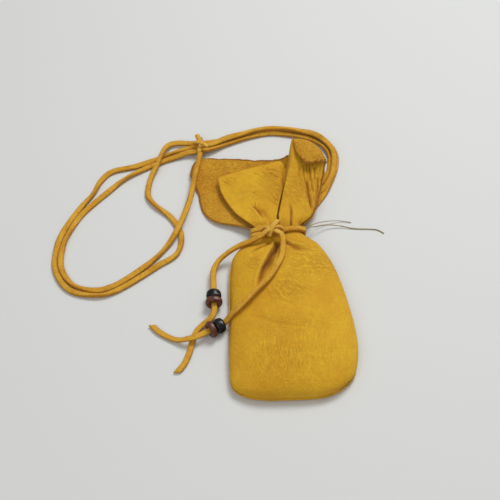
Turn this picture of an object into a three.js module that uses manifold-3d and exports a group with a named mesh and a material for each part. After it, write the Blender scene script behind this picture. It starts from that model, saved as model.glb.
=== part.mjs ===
import * as THREE from 'three';
import Module from 'manifold-3d';
import * as BufferGeometryUtils from 'three/addons/utils/BufferGeometryUtils.js';

// Deerskin drawstring pouch, lying on its back: millimetres, +Y from the bottom seam to the mouth,
// +Z up from the surface that it rests on, origin in the flat middle of the back panel.

const wasm = await Module();
wasm.setup();

// Leather and lace
const LEATHER = 1.1;
const LACE_DIAMETER = 3;
const WRAP_WIDTH = 3.4;
const WRAP_THICKNESS = 1.8;
const THREAD_DIAMETER = 0.7;
const CLEARANCE = 0.3;
const LACE_SIDES = 8;
const THREAD_SIDES = 6;

// Body of the pouch
const BODY_WIDTH = 74;
const BODY_LENGTH = 111;
const BODY_RISE = 10.4;
const SEAM_HEIGHT = 2.2;
const SEAM_STEP = 2.5;
const SEAM_LEDGE = 1.1;
const BACK_DISH = 8;
const DISH_POWER = 2.6;

// Gathered neck
const NECK_Y = 56;
const NECK_CENTRE = -4.4;
const NECK_WIDTH = 27.4;
const NECK_UNDERSIDE = 6;
const NECK_SEAM = 8.6;
const NECK_RISE = 4.2;

// Beads on the tie lace
const BEAD_DIAMETER = 9;
const BEAD_LENGTH = 6;
const RING_DIAMETER = 10;
const RING_LENGTH = 3.5;
const BEAD_BORE = 4.2;
const BEAD_SEGMENTS = 20;
const BEAD_REST = 0.15;
const LEFT_BEAD_X = -44.4;
const LEFT_BEAD_Y = 16.2;
const RIGHT_BEAD_X = -41.9;
const RIGHT_BEAD_Y = -5.4;
const RIGHT_BEAD_TURN = THREE.MathUtils.degToRad(120);

// Colours
const GRAIN_COLOUR = 0xd3a233;
const BACK_COLOUR = 0xc78f2c;
const LACE_COLOUR = 0xcb9430;
const THREAD_COLOUR = 0x9c916a;
const BEAD_COLOUR = 0x0d0d0e;
const RING_COLOUR = 0x46180d;

const point = (x, y, z) => new THREE.Vector3(x, y, z);
const points = (list) => list.map(([x, y, z]) => point(x, y, z));

// Rows of the body from the bottom seam to the neck. along is the share of the length, left and
// right the seam's place as a share of half the width, turnUp how far the row's two ends stand above
// its middle, puff the share of the full rise, and ledge how far the back shows past the left seam.
const BODY_ROWS = [
  { along: 0, left: -0.905, right: 0.743, turnUp: [5.5, 8.5], puff: 0, dish: 0, ledge: 0 },
  { along: 0.012, left: -0.957, right: 0.8, turnUp: [6.7, 8.5], puff: 0.34, dish: 0.3, ledge: 0 },
  { along: 0.05, left: -0.99, right: 0.862, turnUp: [7, 7.5], puff: 0.66, dish: 0.7, ledge: 0 },
  { along: 0.125, left: -0.997, right: 0.919, turnUp: [6, 5.8], puff: 0.89, dish: 0.95, ledge: 0 },
  { along: 0.24, left: -0.997, right: 0.967, turnUp: [4.4, 4.4], puff: 1, dish: 1, ledge: 0 },
  { along: 0.39, left: -0.968, right: 0.957, turnUp: [2, 2], puff: 1.03, dish: 1, ledge: 0.5 },
  { along: 0.54, left: -0.938, right: 0.905, turnUp: [0, 0], puff: 1, dish: 1, ledge: 1 },
  { along: 0.67, left: -0.93, right: 0.84, turnUp: [0, 0], puff: 0.96, dish: 0.95, ledge: 1 },
  { along: 0.79, left: -0.9, right: 0.74, turnUp: [0, 0], puff: 0.86, dish: 0.8, ledge: 1 },
  { along: 0.88, left: -0.852, right: 0.625, turnUp: [0, 0], puff: 0.7, dish: 0.55, ledge: 0.5 },
  { along: 0.945, left: -0.7, right: 0.49, turnUp: [0, 1], puff: 0.48, dish: -0.45, ledge: 0 },
];

// Rows of the neck, under the tie lace; skew is how far the row climbs to the right.
const NECK_ROWS = [
  { y: NECK_Y, widen: 1.02, skew: 1.6 },
  { y: NECK_Y + 4.5, widen: 1, skew: 1 },
];

// Where each long line of the front panel crosses the body, from the left seam to the right one,
// as a share of a quarter turn either side of the middle.
const FRONT_LINE_TURNS = [-1, -0.5, -0.22, -0.04, 0.044, 0.13, 0.25, 0.384, 0.671, 1];
const BACK_LINE_TURNS = [-1, -0.5, -0.27, -0.03, 0.22, 0.42, 0.66, 1];
const FRONT_LINE_STEPS = [4, 4, 3, 2, 3, 2, 3, 3, 3];
const BACK_LINE_STEPS = [4, 2, 3, 3, 3, 3, 3];

// Front flap above the neck: the loose lobe, the deep crease, and the raised ear whose top turns over.
const LOBE_EDGE = [
  [-18.1, 63, 9.4], [-23.5, 70, 8.2], [-29.5, 78, 6.4], [-34.2, 87.5, 5.2], [-37.9, 97, 5],
  [-39.2, 104, 5.6], [-39.5, 106.6, 6], [-39.4, 107.4, 6.1], [-39.3, 108.2, 6.2],
];
const LOBE_LEFT = [
  [-14.1, 63, 11.3], [-17, 70, 10.2], [-19.8, 79.5, 8.4], [-22.9, 90, 7.5], [-24.6, 101, 7.3],
  [-25.3, 108.8, 7], [-25.5, 111.2, 6.9], [-25.5, 112, 6.9], [-25.5, 112.8, 6.9],
];
const LOBE_MIDDLE = [
  [-9.2, 63, 12.4], [-10, 70, 11.4], [-10.2, 80, 10.1], [-10.5, 91.5, 9.3], [-10.7, 103, 8.8],
  [-10.8, 111.8, 8.2], [-10.8, 114.4, 8], [-10.8, 115.2, 8], [-10.8, 116, 8],
];
const CREASE_SHOULDER = [
  [-5.8, 63, 12.4], [-6.3, 70, 11.4], [-4.6, 80, 10.3], [-2.6, 92, 9.7], [-1, 104, 9.2],
  [0.2, 113.8, 8.8], [0.5, 116.6, 8.7], [0.5, 117.4, 8.7], [0.6, 118.2, 8.7],
];
const CREASE = [
  [-4, 63, 11], [-3.9, 70, 8.9], [-2, 80, 7.7], [0, 91.5, 7.1], [1.8, 102.5, 7],
  [3, 109.8, 7.4], [3.4, 112.2, 7.8], [3.5, 113, 8], [3.6, 113.8, 8.2],
];
const EAR_RIDGE = [
  [-2.2, 63, 13], [-1, 70, 13.6], [1, 80.5, 14.2], [3, 91, 15.1], [5, 103, 16.7],
  [6.8, 114.5, 18.7], [7.7, 123, 20.1], [8, 125, 20.4], [8.2, 126.3, 20.5],
];
const EAR_TURN = [
  [0.6, 63.2, 13.1], [2.4, 70, 13.5], [4.8, 80.4, 13.9], [6.8, 90.8, 14.8], [8.8, 102, 16.4],
  [10.4, 113, 18.9], [11.2, 124.4, 20.9], [11.2, 119.6, 22], [10.8, 112.4, 20.6],
];
const EAR_FRONT = [
  [3.2, 63.4, 12.6], [7.4, 70.2, 12.9], [10.9, 80.2, 13.3], [13, 90.5, 14], [15, 101, 15.5],
  [16.7, 111.5, 18.2], [17.8, 122, 21.3], [17.6, 114.2, 22.4], [16.6, 104.8, 20.4],
];
const EAR_SIDE = [
  [7.2, 63.8, 11.2], [12.6, 70.6, 11.4], [16.4, 81, 11.5], [18.6, 91, 12], [20.6, 100.5, 13.4],
  [22.4, 109.5, 16.2], [24, 117.2, 19.2], [24, 112.4, 20.4], [22.6, 106.6, 18.9],
];
const EAR_SEAM = [
  [9.2, 64, 9.1], [16.3, 71, 9.1], [20.4, 81.5, 8.9], [22.7, 91, 9.2], [24.8, 100.5, 10.5],
  [26.6, 107.4, 12.6], [27.9, 111.4, 14.7], [27.7, 110.6, 15.8], [26.8, 109.8, 16.4],
];
const FRONT_LINES = [
  LOBE_EDGE, LOBE_LEFT, LOBE_MIDDLE, CREASE_SHOULDER, CREASE,
  EAR_RIDGE, EAR_TURN, EAR_FRONT, EAR_SIDE, EAR_SEAM,
];

// Back flap above the neck: it lies on the table at the left and rises behind the ear at the right.
const FLAP_EDGE = [
  [-18.3, 63, 6.4], [-29, 69.5, 3.4], [-42, 74.8, 1.6], [-49.5, 84, 0.2], [-52.2, 98, 0.1],
  [-55.6, 110, 2], [-56.6, 117, 2.4], [-54.5, 123.5, 2.4], [-50, 128.3, 2],
];
const FLAP_LEFT = [
  [-14.1, 63, 5.8], [-20, 70.5, 3.6], [-27, 79, 1.7], [-31, 90, 0.4], [-33.5, 102, 0],
  [-35, 113, 0.3], [-35.3, 120, 1.3], [-35.2, 124.5, 1.8], [-35, 127, 2.4],
];
const FLAP_MIDDLE = [
  [-10, 63, 5.9], [-12.6, 71, 4.2], [-14.4, 80.5, 2.3], [-16.2, 92, 0.9], [-17.5, 104, 0.5],
  [-18.5, 114.5, 0.7], [-18.8, 120.5, 1.6], [-18.8, 123.5, 2.2], [-18.8, 125.4, 2.8],
];
const FLAP_RIGHT = [
  [-5, 63, 6.1], [-5.2, 71, 4.8], [-4.8, 80.5, 3.1], [-4.2, 92, 2.1], [-3.4, 104, 1.9],
  [-2.8, 114, 2.4], [-2.8, 119.5, 3], [-2.8, 121.8, 3.4], [-2.8, 123.2, 4],
];
const EAR_FOOT = [
  [0.3, 63, 6.2], [1.6, 71, 4.9], [2.8, 80.5, 4], [3.8, 92, 3.6], [4.6, 103.5, 3.6],
  [5.4, 112, 4.4], [6, 117, 6], [6.4, 119.8, 7.8], [6.8, 122, 10],
];
const EAR_BACK = [
  [4, 63.2, 6.3], [7.2, 70.8, 5.6], [9.4, 80.5, 5.1], [10.6, 91, 5.2], [11.4, 102, 6],
  [12, 112, 8.6], [12.4, 118.5, 11.6], [12.6, 121.8, 13.6], [12.8, 124, 15.2],
];
const EAR_BACK_RIGHT = [
  [7.4, 63.6, 6.7], [13, 70.9, 6.5], [16.6, 81, 6.2], [18.6, 91, 6.4], [19.9, 101, 7.6],
  [20.8, 110, 10], [21.4, 115.5, 12.2], [21.7, 117.6, 13.2], [21.9, 119, 14],
];
const BACK_SEAM = [
  [9.6, 64, 6.9], [17, 71, 6.9], [21.3, 81.5, 6.9], [23.7, 91, 7.2], [25.8, 100.5, 8.4],
  [27.6, 107.4, 10.4], [28.9, 111, 12], [29.3, 112, 12.4], [29.5, 112.6, 12.8],
];
const BACK_LINES = [
  FLAP_EDGE, FLAP_LEFT, FLAP_MIDDLE, FLAP_RIGHT, EAR_FOOT, EAR_BACK, EAR_BACK_RIGHT, BACK_SEAM,
];

// Gathers that run out of the neck over the front: place at the neck and at their end, and depth.
const FRONT_GATHERS = [
  { neckX: -6, endX: -16.5, endY: 20, depth: 3.4, halfWidth: 2.6 },
  { neckX: 0, endX: 9.5, endY: 36, depth: 1.7, halfWidth: 2.2 },
  { neckX: -14, endX: -24, endY: 36, depth: 1.2, halfWidth: 2.6 },
  { neckX: 6.5, endX: 16, endY: 38, depth: 1.2, halfWidth: 2.4 },
];

// Routes of the laces and the thread, chosen by hand
const TIED_LACE_ROUTE = [
  [-50.3, 129.2, 6.4], [-51, 124.5, 7.2], [-53.9, 110, 6.2], [-57.6, 91.5, 4.4], [-64.9, 68.5, 5],
  [-71.8, 57, 2], [-79.8, 47.2, 1.55], [-95.6, 33.4, 1.55], [-104.3, 27.9, 1.55], [-112.4, 25.6, 1.55],
  [-126.6, 29.7, 1.55], [-134.7, 42.8, 1.55], [-134.9, 58.8, 1.55], [-130.5, 73.3, 1.55],
  [-124.3, 85.3, 1.55], [-108.5, 103.6, 1.55], [-100.8, 111.9, 1.55], [-91.6, 118.9, 1.55],
  [-73.5, 128.6, 1.6], [-66.5, 131, 2], [-58.5, 133.3, 3.4], [-50.5, 134, 4.1], [-43, 136.2, 3.4],
  [-34, 141.4, 2], [-13, 149.3, 1.55], [-2, 150.6, 1.55], [18.5, 145.8, 1.55], [26, 141.3, 1.55],
  [31, 135.2, 1.55], [33.4, 128, 1.55], [32.6, 119, 1.55], [29.8, 111, 1.55], [24.4, 103, 1.55],
  [16.4, 94.4, 1.55], [9.4, 84.6, 1.6], [3.6, 75.6, 1.9], [-6.4, 61.4, 4.05], [-7.4, 49.8, 3.9],
];
const LOOPED_LACE_ROUTE = [
  [-3.9, 49.8, 3.9], [-2.5, 61.4, 4.05], [8, 73.8, 1.9], [19.4, 91.6, 1.6], [27, 100, 2.4],
  [32.4, 109, 4.1], [35.6, 127.6, 4.5], [33.2, 136, 4.5], [27.6, 143.1, 4.5], [19.2, 148.1, 4.5],
  [-1.8, 152.6, 4.5], [-13.6, 151.2, 4.5], [-35.6, 142.8, 4.9], [-43.6, 139, 4.8], [-59.5, 137.2, 3.2],
  [-67.6, 135.2, 1.9], [-90.5, 124.9, 1.55], [-107.3, 120.2, 1.55], [-113.9, 112.6, 1.55],
  [-118.4, 101.6, 1.55], [-124.4, 92.6, 1.55], [-134.6, 73, 1.55], [-138.2, 60, 1.55],
  [-138.1, 41.6, 1.55], [-128.8, 26.4, 1.55], [-112.1, 21.8, 1.55], [-102.9, 24.2, 1.55],
  [-77.2, 42.3, 1.55], [-65.6, 51.8, 1.55], [-63.2, 65.4, 1.55], [-69, 79.6, 1.55], [-80.2, 92, 1.55],
  [-83.6, 98.6, 1.55], [-82.3, 112.6, 2], [-78, 122.6, 4.8], [-72, 139.4, 3.8], [-66.6, 143, 2.4],
  [-50.5, 140.9, 4.1], [-34.8, 145.2, 2], [-13.6, 152.8, 1.55], [-1.8, 154.2, 1.55], [20.6, 149.4, 1.55],
  [29.4, 143.8, 1.55], [35, 136.2, 1.55], [37, 127.8, 1.55], [36, 118.2, 1.55], [29, 99.4, 1.55],
  [16.6, 80.4, 1.6], [11.4, 71.9, 1.9], [0.8, 61.2, 4.12], [-0.4, 49.8, 3.95],
];
const LEFT_TAIL_ROUTE = [
  [-13.8, 51.2, 17.1], [-16.8, 50, 16], [-21, 49, 13.8], [-26, 48.2, 12], [-31, 47, 10],
  [-36.4, 44.8, 7.3], [-41, 41.2, 5.4], [-43.8, 35.6, 5], [-44.4, 30, 4.9], [-44.4, 24.4, 4.9],
  [-44.4, 18, 4.9], [-44.4, 11, 4.9], [-44.4, 5.4, 4.9], [-46.2, 0.8, 4.1], [-50.8, -2.4, 2.5],
  [-55, -6.6, 1.6], [-57.3, -13.2, 1.55], [-59, -20.4, 1.55], [-62, -28, 1.55], [-66, -33.6, 1.55],
];
const RIGHT_TAIL_ROUTE = [
  [-3, 50.8, 17.2], [-2.6, 46.6, 17.2], [-2.8, 42, 17], [-4.2, 34, 16.8], [-7.5, 26.9, 17.1],
  [-12.9, 18, 17.2], [-19.6, 10.7, 16.8], [-24.6, 5.4, 15.8], [-28.6, 2.2, 14.1], [-32, 0.2, 11.7],
  [-34.6, -1, 9.4], [-36.6, -2.2, 6.9], [-38.6, -3.4, 5.05], [-40.9, -4.8, 4.85], [-43.7, -6.4, 4.85],
  [-48.8, -9.4, 4.9], [-54.4, -12.4, 5.15], [-60.4, -13.4, 4.3], [-65.8, -12.2, 2],
  [-71.2, -9.4, 1.55], [-76.8, -5.2, 1.55], [-80.1, -1.1, 1.55],
];
const THREAD_ROUTE = [
  [10.2, 63.5, 7.9], [13.8, 64, 7.2], [18.4, 65, 6], [22.9, 67.2, 4.4], [27.4, 68.8, 2.8],
  [34.9, 68.8, 1.3], [41, 67.4, 0.6], [46.4, 66.8, 0.45], [51.6, 66.4, 0.45], [56.6, 65.6, 0.45],
  [60.8, 62.6, 0.45],
];

// Shape helpers

// Turns a grid of points into a closed sheet of leather; side is +1 or -1 for the way it thickens.
function sheetSolid(grid, thickness, side) {
  const rows = grid.length;
  const cols = grid[0].length;
  const at = (i, j) => grid[Math.min(Math.max(i, 0), rows - 1)][Math.min(Math.max(j, 0), cols - 1)];
  const position = [];
  const inner = [];
  for (let i = 0; i < rows; i += 1) {
    for (let j = 0; j < cols; j += 1) {
      const across = at(i, j + 1).clone().sub(at(i, j - 1));
      const along = at(i + 1, j).clone().sub(at(i - 1, j));
      const normal = across.cross(along).normalize();
      position.push(grid[i][j].x, grid[i][j].y, grid[i][j].z);
      const twin = grid[i][j].clone().addScaledVector(normal, side * thickness);
      inner.push(twin.x, twin.y, twin.z);
    }
  }
  const offset = rows * cols;
  const index = [];
  const quad = (a, b, c, d) => index.push(a, b, c, a, c, d);
  const id = (i, j) => i * cols + j;
  for (let i = 0; i + 1 < rows; i += 1) {
    for (let j = 0; j + 1 < cols; j += 1) {
      quad(id(i, j), id(i, j + 1), id(i + 1, j + 1), id(i + 1, j));
      quad(offset + id(i, j), offset + id(i + 1, j), offset + id(i + 1, j + 1), offset + id(i, j + 1));
    }
  }
  const rim = [];
  for (let j = 0; j < cols; j += 1) rim.push(id(0, j));
  for (let i = 1; i < rows; i += 1) rim.push(id(i, cols - 1));
  for (let j = cols - 2; j >= 0; j -= 1) rim.push(id(rows - 1, j));
  for (let i = rows - 2; i > 0; i -= 1) rim.push(id(i, 0));
  rim.forEach((a, k) => {
    const b = rim[(k + 1) % rim.length];
    quad(a, a + offset, b + offset, b);
  });
  return outwardGeometry(position.concat(inner), index);
}

// Makes a geometry whose faces all point out of its body.
function outwardGeometry(position, index) {
  let volume = 0;
  const a = new THREE.Vector3();
  const b = new THREE.Vector3();
  const c = new THREE.Vector3();
  for (let k = 0; k < index.length; k += 3) {
    a.fromArray(position, index[k] * 3);
    b.fromArray(position, index[k + 1] * 3);
    c.fromArray(position, index[k + 2] * 3);
    volume += a.dot(b.cross(c));
  }
  const faces = volume > 0 ? index : index.slice().reverse();
  const geometry = new THREE.BufferGeometry();
  geometry.setAttribute('position', new THREE.Float32BufferAttribute(position, 3));
  geometry.setIndex(faces);
  geometry.computeVertexNormals();
  return geometry;
}

// A round cord along a smooth route.
function cordGeometry(route, diameter, sides, steps) {
  const section = new THREE.Shape();
  for (let k = 0; k < sides; k += 1) {
    const angle = (k / sides) * 2 * Math.PI;
    const x = Math.cos(angle) * diameter / 2;
    const y = Math.sin(angle) * diameter / 2;
    if (k === 0) section.moveTo(x, y);
    else section.lineTo(x, y);
  }
  section.closePath();
  const path = new THREE.CatmullRomCurve3(points(route), false, 'centripetal');
  return new THREE.ExtrudeGeometry(section, { steps, extrudePath: path, bevelEnabled: false });
}

// A flat lace along a list of points; each point's thin way is given by thinWay(point).
function flatLace(path, width, thickness, thinWay) {
  const position = [];
  const index = [];
  const count = path.length;
  path.forEach((centre, k) => {
    const tangent = path[Math.min(k + 1, count - 1)].clone().sub(path[Math.max(k - 1, 0)]).normalize();
    const thin = thinWay(centre);
    thin.addScaledVector(tangent, -thin.dot(tangent)).normalize();
    const wide = tangent.clone().cross(thin);
    for (let s = 0; s < LACE_SIDES; s += 1) {
      const angle = ((s + 0.5) / LACE_SIDES) * 2 * Math.PI;
      const corner = centre.clone();
      corner.addScaledVector(wide, Math.cos(angle) * width / 2);
      corner.addScaledVector(thin, Math.sin(angle) * thickness / 2);
      position.push(corner.x, corner.y, corner.z);
    }
  });
  for (let k = 0; k + 1 < count; k += 1) {
    for (let s = 0; s < LACE_SIDES; s += 1) {
      const next = (s + 1) % LACE_SIDES;
      const low = k * LACE_SIDES;
      const high = low + LACE_SIDES;
      index.push(low + s, low + next, high + next, low + s, high + next, high + s);
    }
  }
  const last = (count - 1) * LACE_SIDES;
  for (let s = 1; s + 1 < LACE_SIDES; s += 1) {
    index.push(0, s + 1, s, last, last + s, last + s + 1);
  }
  return outwardGeometry(position, index);
}

function toManifold(geometry) {
  const bare = geometry.clone();
  bare.deleteAttribute('normal');
  bare.deleteAttribute('uv');
  const merged = BufferGeometryUtils.mergeVertices(bare, 1e-5);
  return new wasm.Manifold(new wasm.Mesh({
    numProp: 3,
    vertProperties: new Float32Array(merged.attributes.position.array),
    triVerts: new Uint32Array(merged.index.array),
  }));
}

function fromManifold(solid) {
  const mesh = solid.getMesh();
  const geometry = new THREE.BufferGeometry();
  geometry.setAttribute('position', new THREE.Float32BufferAttribute(mesh.vertProperties, 3));
  geometry.setIndex(new THREE.Uint32BufferAttribute(mesh.triVerts, 1));
  geometry.computeVertexNormals();
  return geometry;
}

function joined(geometries) {
  const solids = geometries.map(toManifold);
  return fromManifold(solids.slice(1).reduce((sum, next) => sum.add(next), solids[0]));
}

// Panels

const smooth = (t) => t * t * (3 - 2 * t);
const clamp01 = (t) => Math.min(Math.max(t, 0), 1);

// One body or neck row of a panel, at a turn from -1 at the left seam to 1 at the right one.
function bodyPoint(row, turn, front) {
  const share = Math.sin(turn * Math.PI / 2);
  const lift = Math.cos(turn * Math.PI / 2);
  const isNeck = row.widen !== undefined;
  const half = isNeck ? row.widen * NECK_WIDTH / 2 : (row.right - row.left) * BODY_WIDTH / 4;
  const middle = isNeck ? NECK_CENTRE : (row.right + row.left) * BODY_WIDTH / 4;
  const turnUp = isNeck ? 0 : row.turnUp[share < 0 ? 0 : 1] * Math.abs(share) ** 4;
  const y = isNeck ? row.y + row.skew * share : NECK_Y - BODY_LENGTH * (1 - row.along) + turnUp;
  const blend = isNeck ? 1 : smooth(clamp01((row.along - 0.6) / 0.4)) * 0.8;
  const seam = THREE.MathUtils.lerp(SEAM_HEIGHT, NECK_SEAM - SEAM_STEP, blend);
  if (front) {
    const rise = isNeck ? NECK_RISE : BODY_RISE * row.puff;
    const z = seam + SEAM_STEP + rise * lift;
    return point(middle + half * share, y, z - gatherDepth(middle + half * share, y));
  }
  const ledge = isNeck ? 0 : SEAM_LEDGE * row.ledge * Math.max(-share, 0) ** 6;
  const drop = isNeck ? NECK_SEAM - SEAM_STEP - NECK_UNDERSIDE : BACK_DISH * row.dish * (1 - blend);
  const z = seam - drop * (1 - Math.abs(share) ** DISH_POWER);
  return point(middle + (half + ledge) * share, y, z);
}

// How deep the gathers cut into the front at a place.
function gatherDepth(x, y) {
  let depth = 0;
  FRONT_GATHERS.forEach((fold) => {
    const run = (NECK_Y - 6 - y) / (NECK_Y - 6 - fold.endY);
    if (run < 0 || run > 1) return;
    const centre = THREE.MathUtils.lerp(fold.neckX, fold.endX, run);
    const fade = Math.sin(Math.PI * (0.12 + 0.88 * run));
    depth += fold.depth * fade * Math.exp(-(((x - centre) / fold.halfWidth) ** 2));
  });
  return depth;
}

function along(curvePoints, t) {
  const curve = new THREE.CatmullRomCurve3(curvePoints, false, 'centripetal');
  return curve.getPoint(t / (curvePoints.length - 1));
}

// Grid of a panel: rows of the body, of the neck and of the flap, with rowSteps between two rows.
function panelGrid(lines, turns, lineSteps, rowSteps, front) {
  const columns = [];
  lineSteps.forEach((steps, k) => {
    for (let s = 0; s < steps; s += 1) columns.push(k + s / steps);
  });
  columns.push(lineSteps.length);
  const turnAt = (t) => {
    const k = Math.min(Math.floor(t), turns.length - 2);
    return THREE.MathUtils.lerp(turns[k], turns[k + 1], t - k);
  };
  const flapRows = lines[0].map((_, r) => lines.map((line) => point(...line[r])));
  const stations = columns.map((t) => [
    ...BODY_ROWS.map((row) => bodyPoint(row, turnAt(t), front)),
    ...NECK_ROWS.map((row) => bodyPoint(row, turnAt(t), front)),
    ...flapRows.map((row) => along(row, t)),
  ]);
  const rowPlaces = [];
  rowSteps.forEach((steps, k) => {
    for (let s = 0; s < steps; s += 1) rowPlaces.push(k + s / steps);
  });
  rowPlaces.push(rowSteps.length);
  return rowPlaces.map((t) => stations.map((station) => {
    const place = along(station, t);
    place.z = Math.max(place.z, 0);
    return place;
  }));
}

const FRONT_ROW_STEPS = [1, 1, 2, 2, 2, 2, 2, 3, 3, 2, 1, 1, 1, 1, 2, 2, 2, 2, 1, 2, 2];
const BACK_ROW_STEPS = [1, 1, 1, 2, 2, 2, 2, 2, 2, 2, 1, 1, 1, 1, 2, 2, 2, 1, 1, 1, 1];

const frontPanel = sheetSolid(
  panelGrid(FRONT_LINES, FRONT_LINE_TURNS, FRONT_LINE_STEPS, FRONT_ROW_STEPS, true), LEATHER, -1,
);
const backPanel = sheetSolid(
  panelGrid(BACK_LINES, BACK_LINE_TURNS, BACK_LINE_STEPS, BACK_ROW_STEPS, false), LEATHER, 1,
);

// Tie lace round the neck, over the strap ends that lie under it: it starts under the neck, comes up
// at the left, crosses under the knot to the right, and comes round again to the knot
const wrapAbove = WRAP_THICKNESS / 2 + CLEARANCE + 0.1;
const wrapTop = NECK_SEAM + NECK_RISE + wrapAbove;
const wrapBottom = WRAP_THICKNESS / 2 + 0.25;
const WRAP_LOW_Y = NECK_Y - 1.8;
const WRAP_HIGH_Y = NECK_Y + 2.1;
const WRAP_LEAN = 0.4;
const WRAP_START_TURN = -0.2;
const WRAP_END_TURN = 1.18;
const WRAP_STEPS = 46;

function wrapPoint(t) {
  const turn = THREE.MathUtils.lerp(WRAP_START_TURN, WRAP_END_TURN, t);
  const angle = turn * 2 * Math.PI;
  const halfWidth = NECK_WIDTH / 2 * 1.06 + wrapAbove;
  const up = Math.sin(angle);
  const z = up > 0
    ? NECK_SEAM + (wrapTop - NECK_SEAM) * up
    : NECK_SEAM - (NECK_SEAM - wrapBottom) * Math.abs(up) ** 0.42;
  const climb = smooth(clamp01((turn - 0.17) / 0.2));
  const y = THREE.MathUtils.lerp(WRAP_LOW_Y, WRAP_HIGH_Y, climb) + WRAP_LEAN * (wrapTop - Math.max(z, NECK_SEAM));
  return point(NECK_CENTRE - halfWidth * Math.cos(angle), y, z);
}
const wrapPath = Array.from({ length: WRAP_STEPS + 1 }, (_, k) => wrapPoint(k / WRAP_STEPS));
const wrapThinWay = (centre) => point((centre.x - NECK_CENTRE) * 0.16, 0, centre.z - NECK_SEAM);
const tieWraps = flatLace(wrapPath, WRAP_WIDTH, WRAP_THICKNESS, wrapThinWay);

// Tie knot: two short loops of lace pulled over each other, with one cut end standing up
const TIE_KNOT = point(-8, 54.4, wrapTop + WRAP_THICKNESS / 2 + CLEARANCE + LACE_DIAMETER / 2 + 0.1);
const knotBar = (offsets, diameter) => cordGeometry(
  offsets.map(([x, y, z]) => [TIE_KNOT.x + x, TIE_KNOT.y + y, TIE_KNOT.z + z]), diameter, LACE_SIDES, 8,
);
const tieKnot = joined([
  knotBar([[-5, -2.6, -0.1], [-2.2, -0.8, 0.9], [1, 1, 1], [4.4, 1.2, -0.1]], LACE_DIAMETER),
  knotBar([[3.8, -2.8, -0.1], [1.6, -1.4, 0.2], [-1.6, 1.4, 0.3], [-4.4, 2.4, -0.1]], LACE_DIAMETER),
  knotBar([[-2.4, -3, 0], [-0.6, -0.6, 1.6], [1.2, 2, 1.5], [3.6, 4.8, 2.4]], LACE_DIAMETER),
]);

// Strap knot: a turn of lace round the three strands, pulled into a lump with two cut ends
const STRAP_KNOT = point(-50.5, 137.5, 4.1);
const KNOT_LACE = 2;
const strandsHalf = LACE_DIAMETER * 1.5 + 0.8 + CLEARANCE + KNOT_LACE / 2;
const strandsTop = LACE_DIAMETER / 2 + 2 * CLEARANCE + KNOT_LACE / 2;
const strapRing = Array.from({ length: 21 }, (_, k) => {
  const angle = Math.PI * (0.62 + 1.8 * k / 20);
  const across = Math.sign(Math.cos(angle)) * Math.abs(Math.cos(angle)) ** 0.62;
  const up = Math.sign(Math.sin(angle)) * Math.abs(Math.sin(angle)) ** 0.62;
  return point(
    STRAP_KNOT.x + 0.6 * Math.cos(angle),
    STRAP_KNOT.y + strandsHalf * across,
    STRAP_KNOT.z + (up > 0 ? strandsTop : STRAP_KNOT.z - KNOT_LACE / 2 - 0.15) * up,
  );
});
const strapRingThinWay = (centre) => point(0, centre.y - STRAP_KNOT.y, centre.z - STRAP_KNOT.z);
const KNOT_TOP = STRAP_KNOT.z + strandsTop;
const strapBar = (offsets, diameter) => cordGeometry(
  offsets.map(([x, y, z]) => [STRAP_KNOT.x + x, STRAP_KNOT.y + y, KNOT_TOP + z]), diameter, LACE_SIDES, 6,
);
const strapKnot = joined([
  flatLace(strapRing, KNOT_LACE, KNOT_LACE, strapRingThinWay),
  strapBar([[-1.6, 6.8, 0.7], [-0.4, 3, 0.7], [0.6, -0.8, 0.7], [0.8, -4.4, 0.6]], LACE_DIAMETER - 0.4),
  strapBar([[-3, 0.4, 0.6], [-0.6, -0.8, 1.5], [2.2, -2.4, 1.3], [5, -3.8, 0.7]], LACE_DIAMETER - 0.4),
]);

// Beads: short tubes with rounded edges, threaded on the straight stretches of the tails
function beadGeometry(diameter, length, bore, round) {
  const outer = diameter / 2;
  const inner = bore / 2;
  const half = length / 2;
  const profile = [];
  const corner = (x, y, from) => {
    for (let k = 0; k <= 3; k += 1) {
      const angle = from + (k / 3) * Math.PI / 2;
      profile.push(new THREE.Vector2(x + round * Math.cos(angle), y + round * Math.sin(angle)));
    }
  };
  profile.push(new THREE.Vector2(inner, half));
  profile.push(new THREE.Vector2(inner, -half));
  corner(outer - round, -half + round, -Math.PI / 2);
  corner(outer - round, half - round, 0);
  profile.push(new THREE.Vector2(inner, half));
  return new THREE.LatheGeometry(profile, BEAD_SEGMENTS);
}

const material = (colour, roughness) => new THREE.MeshStandardMaterial({ color: colour, roughness, metalness: 0 });
const part = new THREE.Group();
part.name = 'pouch';

function add(name, geometry, finish) {
  const mesh = new THREE.Mesh(geometry, finish);
  mesh.name = name;
  part.add(mesh);
  return mesh;
}

function addBead(name, geometry, finish, x, y, z, turn) {
  const bead = add(name, geometry, finish);
  bead.position.set(x, y, z);
  bead.rotation.z = turn;
}

add('front_panel', frontPanel, material(GRAIN_COLOUR, 0.72));
add('back_panel', backPanel, material(BACK_COLOUR, 0.85));
add('tie_wraps', tieWraps, material(LACE_COLOUR, 0.75));
add('tie_knot', tieKnot, material(LACE_COLOUR, 0.75));
add('tie_tail_left', cordGeometry(LEFT_TAIL_ROUTE, LACE_DIAMETER, LACE_SIDES, 38), material(LACE_COLOUR, 0.75));
add('tie_tail_right', cordGeometry(RIGHT_TAIL_ROUTE, LACE_DIAMETER, LACE_SIDES, 42), material(LACE_COLOUR, 0.75));
add('strap_lace_tied', cordGeometry(TIED_LACE_ROUTE, LACE_DIAMETER, LACE_SIDES, 80), material(LACE_COLOUR, 0.75));
add('strap_lace_looped', cordGeometry(LOOPED_LACE_ROUTE, LACE_DIAMETER, LACE_SIDES, 90), material(LACE_COLOUR, 0.75));
add('strap_knot', strapKnot, material(LACE_COLOUR, 0.75));
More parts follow.
